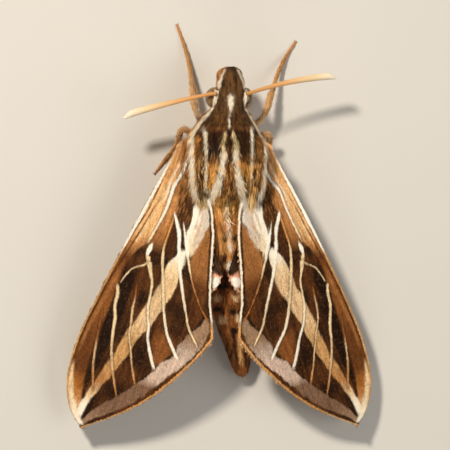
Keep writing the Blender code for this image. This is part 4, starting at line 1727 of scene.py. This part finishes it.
        return Blades(
            root=self.surface(a, b, side), way=way, out=out,
            length=size * self.scale[0] * rng.uniform(0.8, 1.25, count) * (1 + 1.8 * hairy),
            width=size * self.scale[1] * rng.uniform(0.8, 1.2, count) * (1 - 0.35 * hairy),
            rise=rng.uniform(0.06, 0.2, count) * (1 - 0.2 * hairy), bend=0.04 * rng.normal(size=count),
            roll=0.12 * rng.normal(size=count), tint=capped(tint), place=self.on_unwrap(a, b, side),
        )

    def fringes(self, rng: Chance) -> Blades:
        """The fringe of long scales along the outer and inner margins.

        Args:
            rng: Source of chance.

        Returns:
            The fringe's scales.
        """
        count = int(self.length * 210)
        a = rng.uniform(0.15 * self.length, self.along[-1], count)
        _, trail = self.edges(a)
        slope = (self.edges(a + 0.3)[1] - self.edges(a - 0.3)[1]) / 0.6
        b = trail - 0.2 - 0.16 * rng.random(count)
        normal = unit(np.stack([-slope, np.ones(count)], axis=1))
        heading = unit(normal + 0.35 * np.stack([np.ones(count), self.fan(b)], axis=1))
        here = self.surface(a, b, WingSide.UPPER)
        there = self.surface(a, b, WingSide.UNDER)
        step = 0.15
        beyond = self.to_row(a + step * heading[:, 0], b + step * heading[:, 1], here[:, 2])
        length = through(self.fringe, a) * rng.uniform(0.75, 1.15, count)
        tint = tint_along(self.fringe_tints, a) * rng.uniform(0.75, 1.2, (count, 1))
        layer = rng.random(count)[:, None]
        return Blades(
            root=here * layer + there * (1 - layer), way=unit(beyond - here),
            out=np.tile((0.0, 0.0, 1.0), (count, 1)), length=length, width=np.full(count, 0.065),
            rise=rng.uniform(-0.04, 0.08, count), bend=0.06 * rng.normal(size=count),
            roll=0.3 * rng.normal(size=count), tint=capped(tint),
            place=self.on_unwrap(a, b, WingSide.UPPER),
        )

    def build(self) -> None:
        """Builds the membrane, its scales and its fringe."""
        rng = np.random.default_rng(100 + self.order)
        self.build_membrane()
        upper = self.scales(rng, WingSide.UPPER, 1.0, 1.0)
        under = self.scales(rng, WingSide.UNDER, 2.4, 2.1)
        fringe = self.fringes(rng)
        for lot, name, profile in ((upper, "scales", SCALE_PROFILE), (under, "under_scales", SCALE_PROFILE),
                                   (fringe, "fringe", SHORT_PROFILE)):
            settle(lot.build(f"{self.node}_{name}", profile, SCALE_ROOT_SHADE_TIP_LIGHT, WING_SCALES), self.slot)


# ---- slender parts


def sleeve(name: str, path: Array, radii: Array, sides: int, finish: Finish,
           tints: Array) -> Piece:
    """A closed tube round a path.

    Args:
        name: The piece's name.
        path: The middle of the tube.
        radii: Its radius at each point of the path.
        sides: How many points a ring has.
        finish: What it is covered with.
        tints: A linear colour for each point of the path.

    Returns:
        The object.
    """
    ahead = unit(np.gradient(path, axis=0))
    side = unit(np.cross(ahead[0], (0.02, 0.03, 1.0)))
    turn = np.arange(sides) * 2 * math.pi / sides
    rings = []
    for centre, way, radius in zip(path, ahead, radii):
        side = unit(side - way * side.dot(way))
        up = np.cross(side, way)
        rings.append(centre + radius * (np.cos(turn)[:, None] * side + np.sin(turn)[:, None] * up))
    points = np.concatenate(rings + [path[:1], path[-1:]])
    colours = np.concatenate([np.repeat(tints, sides, axis=0), tints[:1], tints[-1:]])
    return add_mesh(name, points, closed_faces(len(path), sides, True), finish, colours)


def join_pieces(pieces: list[Piece], name: str) -> Piece:
    """Joins pieces into one.

    Args:
        pieces: The pieces, which share a finish.
        name: The name of the whole.

    Returns:
        The whole.
    """
    with bpy.context.temp_override(active_object=pieces[0], selected_editable_objects=pieces):
        bpy.ops.object.join()
    pieces[0].name = name
    pieces[0].data.name = name
    return pieces[0]


def centre_line(node: str, start: Array, count: int) -> tuple[Array, Array]:
    """The middle of a slender node from one end to the other.

    Args:
        node: The node.
        start: A place near the end to start from.
        count: How many points the line has.

    Returns:
        The line's points, and the node's radius at each.
    """
    points, faces = node_shape(node)
    points, merged = np.unique(np.round(points, 4), axis=0, return_inverse=True)
    faces = merged.reshape(-1)[faces]
    edges = np.unique(np.sort(np.concatenate([faces[:, :2], faces[:, 1:], faces[:, ::2]]), axis=1), axis=0)
    edges = edges[edges[:, 0] != edges[:, 1]]
    reach = np.linalg.norm(points[edges[:, 0]] - points[edges[:, 1]], axis=1)

    def spread_from(source: int) -> Array:
        """The distance over the node from one of its points.

        Args:
            source: The number of the point.

        Returns:
            The distance to each point.
        """
        distance = np.full(len(points), np.inf)
        distance[source] = 0.0
        for _ in range(len(points)):
            before = distance.copy()
            np.minimum.at(distance, edges[:, 1], distance[edges[:, 0]] + reach)
            np.minimum.at(distance, edges[:, 0], distance[edges[:, 1]] + reach)
            if np.array_equal(before, distance):
                break
        return distance

    source = int(np.argmin(np.linalg.norm(points - start, axis=1)))
    first = spread_from(source)
    second = spread_from(int(np.argmax(first)))
    travel = (first - second) / 2
    travel -= travel.min()
    stations = np.linspace(0, travel.max(), count)
    weight = np.exp(-(((travel[None] - stations[:, None]) / 0.55) ** 2))
    weight /= weight.sum(axis=1, keepdims=True)
    line = weight @ points
    line[0] += 0.6 * (line[0] - line[1]) / np.linalg.norm(line[0] - line[1]) * 0.5
    line[-1] += 0.6 * (line[-1] - line[-2]) / np.linalg.norm(line[-1] - line[-2]) * 0.5
    away = np.linalg.norm(points[None] - line[:, None], axis=-1)
    return line, (weight * away).sum(axis=1)


def resampled(path: Array, count: int) -> tuple[Array, Array]:
    """A path at even steps.

    Args:
        path: The path's points.
        count: How many points are wanted.

    Returns:
        The points, and the share of the length at each.
    """
    travel = np.concatenate([[0.0], np.cumsum(np.linalg.norm(np.diff(path, axis=0), axis=1))])
    share = np.linspace(0, 1, count)
    points = np.stack([np.interp(share * travel[-1], travel, path[:, k]) for k in range(3)], axis=1)
    return points, share


@dataclass
class Feeler:
    """A feeler: a ringed shaft that thickens to a club and ends in a fine hook.

    Attributes:
        node: The solid that it replaces.
        rings: How many rings it has.
        radii: Its radius along its length.
    """

    node: str
    rings: int = 62
    radii: Stations = ((0.0, 0.26), (0.06, 0.21), (0.3, 0.26), (0.7, 0.38), (0.88, 0.42), (0.95, 0.28),
                       (1.0, 0.05))

    def build(self) -> None:
        """Builds the shaft with a low step at each ring."""
        low, high = box_of(self.node)
        inner = corner_towards(self.node, "head")[0]
        path, _ = centre_line(self.node, np.array([inner, (low[1] + high[1]) / 2, high[2]]), 40)
        path, share = resampled(path, self.rings * 4)
        ringed = np.abs(np.sin(share * self.rings * math.pi))
        radii = through(self.radii, share) * (1 + 0.07 * ringed)
        stops = ((0.0, GOLD), (0.4, AMBER), (0.75, CREAM), (1.0, IVORY))
        tints = tint_along(stops, share) * (0.82 + 0.25 * ringed)[:, None]
        settle(sleeve(self.node + "_shaft", path, radii, 16, FEELER, tints), "feeler", self.node)


@dataclass
class Leg:
    """A leg: thigh, shank and five foot joints with spurs and claws, dressed with short hair.

    Attributes:
        node: The solid that it replaces.
        order: Picks its own chance.
        radii: Its radius along its length.
        spurs: Where pairs of spurs stand, as a share of its length.
        foot: Where the foot's joints begin.
    """

    node: str
    order: int
    radii: Stations = ((0.0, 0.36), (0.14, 0.44), (0.3, 0.34), (0.38, 0.29), (0.48, 0.35), (0.58, 0.24),
                       (0.64, 0.19), (0.9, 0.14), (1.0, 0.07))
    spurs: tuple[float, ...] = (0.48, 0.62)
    foot: float = 0.62

    def build(self) -> None:
        """Builds the leg, its spurs and claws, and its coat."""
        rng = np.random.default_rng(300 + self.order)
        inner, nearer, _ = corner_towards(self.node, "thorax")
        path, _ = centre_line(self.node, np.array([inner, nearer, 2.0]), 60)
        path, share = resampled(path, 160)
        path = self.smoothed(path, 9.0)
        joints = np.clip((share - self.foot) / (1 - self.foot), 0, 1) * 5
        swell = np.where(share > self.foot, 0.16 * np.sin(joints % 1.0 * math.pi) - 0.04, 0.0)
        radii = through(self.radii, share) * (1 + swell)
        grounded = ease((share - 0.8) / 0.12)
        path[:, 2] = path[:, 2] * (1 - grounded) + grounded * radii
        path[:, 2] = np.maximum(path[:, 2], radii)
        tints = tint_along(((0.0, BUFF), (0.3, HORN), (0.62, HORN), (1.0, TAN)), share)
        tints = tints * (0.9 + 0.2 * rng.random((len(share), 1)))
        pieces = [sleeve(self.node + "_limb", path, radii, 16, LIMB, tints)]
        pieces += self.spines(path, radii, rng)
        limb = join_pieces(pieces, self.node + "_limb")
        settle(limb, "limb", self.node)
        coat = self.hairs(path, share, radii, rng)
        settle(coat.build(self.node + "_coat", SHORT_PROFILE, HAIR_ROOT_SHADE_TIP_LIGHT, HEAD_HAIR), "limb")

    def smoothed(self, path: Array, reach: float) -> Array:
        """The path without its small bends, its ends where they were."""
        count = int(3 * reach) + 1
        before = 2 * path[0] - path[count:0:-1]
        after = 2 * path[-1] - path[-2:-count - 2:-1]
        return blur(np.concatenate([before, path, after]), reach, 0, False)[count:-count]

    def spines(self, path: Array, radii: Array, rng: Chance) -> list[Piece]:
        """Spurs at the shank, small spines down the foot and two claws.

        Args:
            path: The leg's middle.
            radii: The radius at each point.
            rng: Source of chance.

        Returns:
            The pieces.
        """
        ahead = unit(np.gradient(path, axis=0))
        made = []
        wanted = [(at, 0.9, 0.06, turn, CHESTNUT) for at in self.spurs for turn in (-0.6, 0.6)]
        foot = np.arange(self.foot + 0.02, 0.98, 0.025)
        wanted += [(at, 0.46 - 0.2 * at, 0.03, turn, CREAM) for at in foot for turn in (-1.3, 1.3)]
        wanted += [(0.985, 0.42, 0.045, turn, CHESTNUT) for turn in (-0.9, 0.9)]
        for number, (at, length, thick, turn, colour) in enumerate(wanted):
            i = min(int(at * (len(path) - 1)), len(path) - 2)
            side = unit(np.cross(ahead[i], (0.0, 0.0, 1.0)))
            droop = np.array([0, 0, -0.12 + 0.1 * rng.random()])
            way = unit(ahead[i] + math.sin(turn) * 0.8 * side + droop)
            start = path[i] + side * math.sin(turn) * radii[i] * 0.7
            reach = np.linspace(0, 1, 5)[:, None]
            line = start + way * length * reach + np.array([0.0, 0.0, -0.1 * length]) * reach**2
            taper = thick * (1.05 - np.linspace(0, 1, 5))
            line[:, 2] = np.maximum(line[:, 2], taper)
            tint = np.repeat(colour.light[None], 5, axis=0)
            made.append(sleeve(f"{self.node}_spine_{number}", line, taper, 6, LIMB, tint))
        return made

    def hairs(self, path: Array, share: Array, radii: Array, rng: Chance) -> Blades:
        """Short hair that lies towards the foot, longer at the thigh.

        Args:
            path: The leg's middle.
            share: The share of the length at each point.
            radii: The radius at each point.
            rng: Source of chance.

        Returns:
            The hairs.
        """
        count = 2600
        at = rng.random(count) ** 1.25 * 0.97 * (len(path) - 1)
        i = np.floor(at).astype(int)
        ahead = unit(np.gradient(path, axis=0))[i]
        side = unit(np.cross(ahead, (0.02, 0.03, 1.0)))
        up = np.cross(side, ahead)
        turn = rng.uniform(0, 2 * math.pi, count)
        out = np.cos(turn)[:, None] * side + np.sin(turn)[:, None] * up
        part = (at - i)[:, None]
        centre = path[i] * (1 - part) + path[i + 1] * part
        length = through(((0.0, 0.8), (0.3, 0.6), (0.6, 0.4), (1.0, 0.22)), share[i])
        root = centre + out * (radii[i] * 0.92)[:, None]
        lit = 0.8 + 0.4 * np.abs(np.cos(turn))
        length = np.where(root[:, 2] < 0.35, np.minimum(length, 0.2), length)
        stops = ((0.0, IVORY), (0.25, BUFF), (0.6, HORN), (1.0, TAN))
        tint = tint_along(stops, share[i])
        return Blades(
            root=root, way=unit(ahead + 0.2 * rng.normal(size=(count, 1)) * side), out=out,
            length=length * rng.uniform(0.7, 1.2, count), width=np.full(count, 0.06),
            rise=rng.uniform(0.08, 0.3, count) * np.where(root[:, 2] < 0.35, 0.2, 1.0),
            bend=0.1 * rng.normal(size=count), roll=0.5 * rng.normal(size=count),
            tint=capped(tint * rng.uniform(0.7, 1.1, (count, 1)) * lit[:, None]),
            place=np.stack([turn / (2 * math.pi), share[i]], axis=1) * (1 - 2 * PATCH) + PATCH,
        )


@dataclass
class Face:
    """The eyes and the coiled tongue.

    Attributes:
        rings: How many rings an eye has.
        turns: How many points a ring has.
        eye_shape: How much longer an eye is than its solid, sideways, lengthways and upwards.
        coils: How often the tongue is wound.
        wire: The tongue's thickness at its root, as a radius.
    """

    rings: int = 48
    turns: int = 96
    eye_shape: tuple[float, float, float] = (1.0, 1.07, 1.0)
    coils: float = 2.6
    wire: float = 0.11

    def build(self) -> None:
        """Builds both eyes and the tongue."""
        for side in Side:
            self.build_eye(side.named("eye"))
        self.build_tongue()

    def build_eye(self, node: str) -> None:
        """Builds one round eye.

        Args:
            node: The solid that it replaces.
        """
        low, high = box_of(node)
        polar = np.linspace(0.02, math.pi - 0.02, self.rings)[:, None]
        turn = (np.arange(self.turns) * 2 * math.pi / self.turns)[None]
        level = np.cos(polar) * np.ones_like(turn)
        ball = np.stack([np.sin(polar) * np.cos(turn), np.sin(polar) * np.sin(turn), level], axis=-1)
        ball = np.concatenate([ball.reshape(-1, 3), [[0, 0, 1.0], [0, 0, -1.0]]])
        points = (low + high) / 2 + (high - low).max() / 2 * np.array(self.eye_shape) * ball
        eye = add_mesh(node + "_ball", points, closed_faces(self.rings, self.turns, False), EyeFinish())
        settle(eye, "eye", node)

    def build_tongue(self) -> None:
        """Builds the tongue as a flat coil in its node's place."""
        low, high = box_of("tongue")
        centre = (low + high) / 2
        outer = (high[2] - low[2]) / 2 - self.wire
        turn = np.linspace(0, self.coils * 2 * math.pi, 160)
        radius = outer * (1 - 0.85 * turn / turn[-1])
        wound = [0.06 * np.sin(turn * 0.5), -radius * np.sin(turn), radius * np.cos(turn)]
        path = centre + np.stack(wound, axis=1)
        wire = self.wire * (1 - 0.4 * turn / turn[-1])
        tints = tint_along(((0.0, WALNUT), (1.0, SEPIA)), np.linspace(0, 1, 160))
        settle(sleeve("tongue_coil", path, wire, 10, TONGUE, tints), "tongue", "tongue")


# ---- stage


@dataclass(frozen=True)
class Studio:
    """The floor, the lights and the camera.

    Attributes:
        tilt: How far the camera leans to the moth's left from straight above, in degrees.
        distance: From the moth to the camera.
        aim: The point it looks at.
        lens: The focal length on a sensor 36 mm wide.
        floor_half: Half the width of the floor.
    """

    tilt: float = 7.5
    distance: float = 400.0
    aim: tuple[float, float, float] = (-0.273, 0.047, 6.0)
    lens: float = 258.0
    floor_half: float = 1500.0

    def build(self) -> None:
        """Builds the whole stage."""
        half = self.floor_half
        corners = np.array([(-half, -half, 0), (half, -half, 0), (half, half, 0), (-half, half, 0)], float)
        floor = add_mesh("floor", corners, np.array([[0, 1, 2, 3]]), FloorFinish())
        self.add_light("key", (150.0, -170.0, 260.0), 46.0, 1.12, (1.0, 0.92, 0.8))
        self.add_light("fill", (-220.0, 60.0, 230.0), 220.0, 0.34, (1.0, 0.97, 0.93))
        self.add_light("rim", (40.0, 260.0, 140.0), 120.0, 0.12, (1.0, 0.97, 0.92))
        world = bpy.data.worlds.new("studio")
        world.use_nodes = True
        sky = world.node_tree.nodes["Background"]
        sky.inputs["Color"].default_value = (1.0, 0.98, 0.95, 1.0)
        sky.inputs["Strength"].default_value = 0.15
        bpy.context.scene.world = world
        bpy.context.scene.view_settings.view_transform = "Standard"
        self.add_camera()

    def add_light(self, name: str, place: tuple[float, float, float], size: float, power: float,
                  colour: tuple[float, float, float]) -> None:
        """Adds a soft light that faces the moth.

        Args:
            name: Its name.
            place: Where it stands, in millimetres.
            size: Its width, in millimetres.
            power: Its strength in watts.
            colour: Its colour.
        """
        light = bpy.data.lights.new(name, "AREA")
        light.shape = "DISK"
        light.size = size * MM
        light.energy = power
        light.color = colour
        lamp = bpy.data.objects.new(name, light)
        lamp.location = Vector(place) * MM
        lamp.rotation_euler = (-Vector(place)).to_track_quat("-Z", "Y").to_euler()
        bpy.context.scene.collection.objects.link(lamp)

    def add_camera(self) -> None:
        """Adds the camera, which looks down on the moth from its left, head up."""
        lean = math.radians(self.tilt)
        towards = Vector((math.sin(lean), 0.0, math.cos(lean)))
        camera = bpy.data.cameras.new("camera")
        camera.sensor_width = 36.0
        camera.lens = self.lens
        camera.clip_start = 0.01
        camera.clip_end = 10.0
        eye = bpy.data.objects.new("camera", camera)
        eye.location = (Vector(self.aim) + self.distance * towards) * MM
        right = Vector((-math.cos(lean), 0.0, math.sin(lean)))
        up = towards.cross(right)
        turn = eye.matrix_world.to_3x3()
        turn.col[0], turn.col[1], turn.col[2] = right, up, towards
        eye.rotation_euler = turn.to_euler()
        bpy.context.scene.collection.objects.link(eye)
        bpy.context.scene.camera = eye


def wings() -> list[Wing]:
    """The four wings, the lower one of each side first."""
    made = []
    for order, side in enumerate(Side):
        made.append(Wing(
            side.named("hindwing"), side.value, root_out=4.4, root_back=14.9, sweep=26.0,
            pattern=HindwingPattern(), slot="hindwing_scales", spacing=(0.11, 0.1), scale=(0.3, 0.15),
            fringe=((0.0, 0.3), (8.2, 0.3), (9.0, 0.5), (9.7, 0.4), (20.0, 0.4)),
            fringe_tints=((8.3, SEPIA), (8.8, MILK), (9.4, MILK), (9.9, BUFF),
                          (20.0, CREAM)),
            order=order,
        ))
        made.append(Wing(
            side.named("forewing"), side.value, root_out=5.75, root_back=9.9, sweep=18.9,
            pattern=ForewingPattern(0.36 * side.value), slot="forewing_scales", spacing=(0.093, 0.078),
            scale=(0.27, 0.12), fringe=((0.0, 0.28), (18.0, 0.28), (21.0, 0.36), (36.0, 0.34)),
            fringe_tints=((5.0, CREAM), (19.0, CREAM), (21.0, BUFF), (26.0, FRINGE),
                          (33.0, FRINGE), (36.0, BUFF)),
            order=2 + order,
            neck=((-1.9, 1.15, 1.4), (-1.0, 0.55, 1.4), (-0.4, 0.12, 1.45), (0.0, -0.02, 1.5)),
            apron=((0.0, 1.5), (2.2, 2.0), (3.4, 3.4), (4.3, 4.9), (5.1, 5.7), (6.0, 6.3), (7.3, 6.95)),
        ))
    return made


def legs() -> list[Leg]:
    """The six legs; the shank of each foreleg swells just past the body and then runs on slender."""
    made = []
    for order, (side, swell) in enumerate(((Side.LEFT, 0.2), (Side.RIGHT, 0.3))):
        radii = ((0.0, 0.3), (swell - 0.04, 0.24), (swell, 0.2), (swell + 0.06, 0.35), (swell + 0.2, 0.37),
                 (swell + 0.25, 0.25), (swell + 0.29, 0.21), (0.8, 0.17), (0.97, 0.12), (1.0, 0.06))
        made.append(Leg(side.named("foreleg"), order, radii, spurs=(swell + 0.24,), foot=swell + 0.28))
        made.append(Leg(side.named("midleg"), 2 + order))
        made.append(Leg(side.named("hindleg"), 4 + order))
    return made


def main() -> None:
    """Dresses the moth and sets the stage."""
    logging.basicConfig(level=logging.INFO, format="%(message)s")
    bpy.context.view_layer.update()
    Studio().build()
    rng = np.random.default_rng(7)
    Trunk().build(rng)
    Face().build()
    for wing in wings():
        wing.build()
    for side in Side:
        Feeler(side.named("antenna")).build()
    for leg in legs():
        leg.build()


if __name__ == "__main__":
    main()
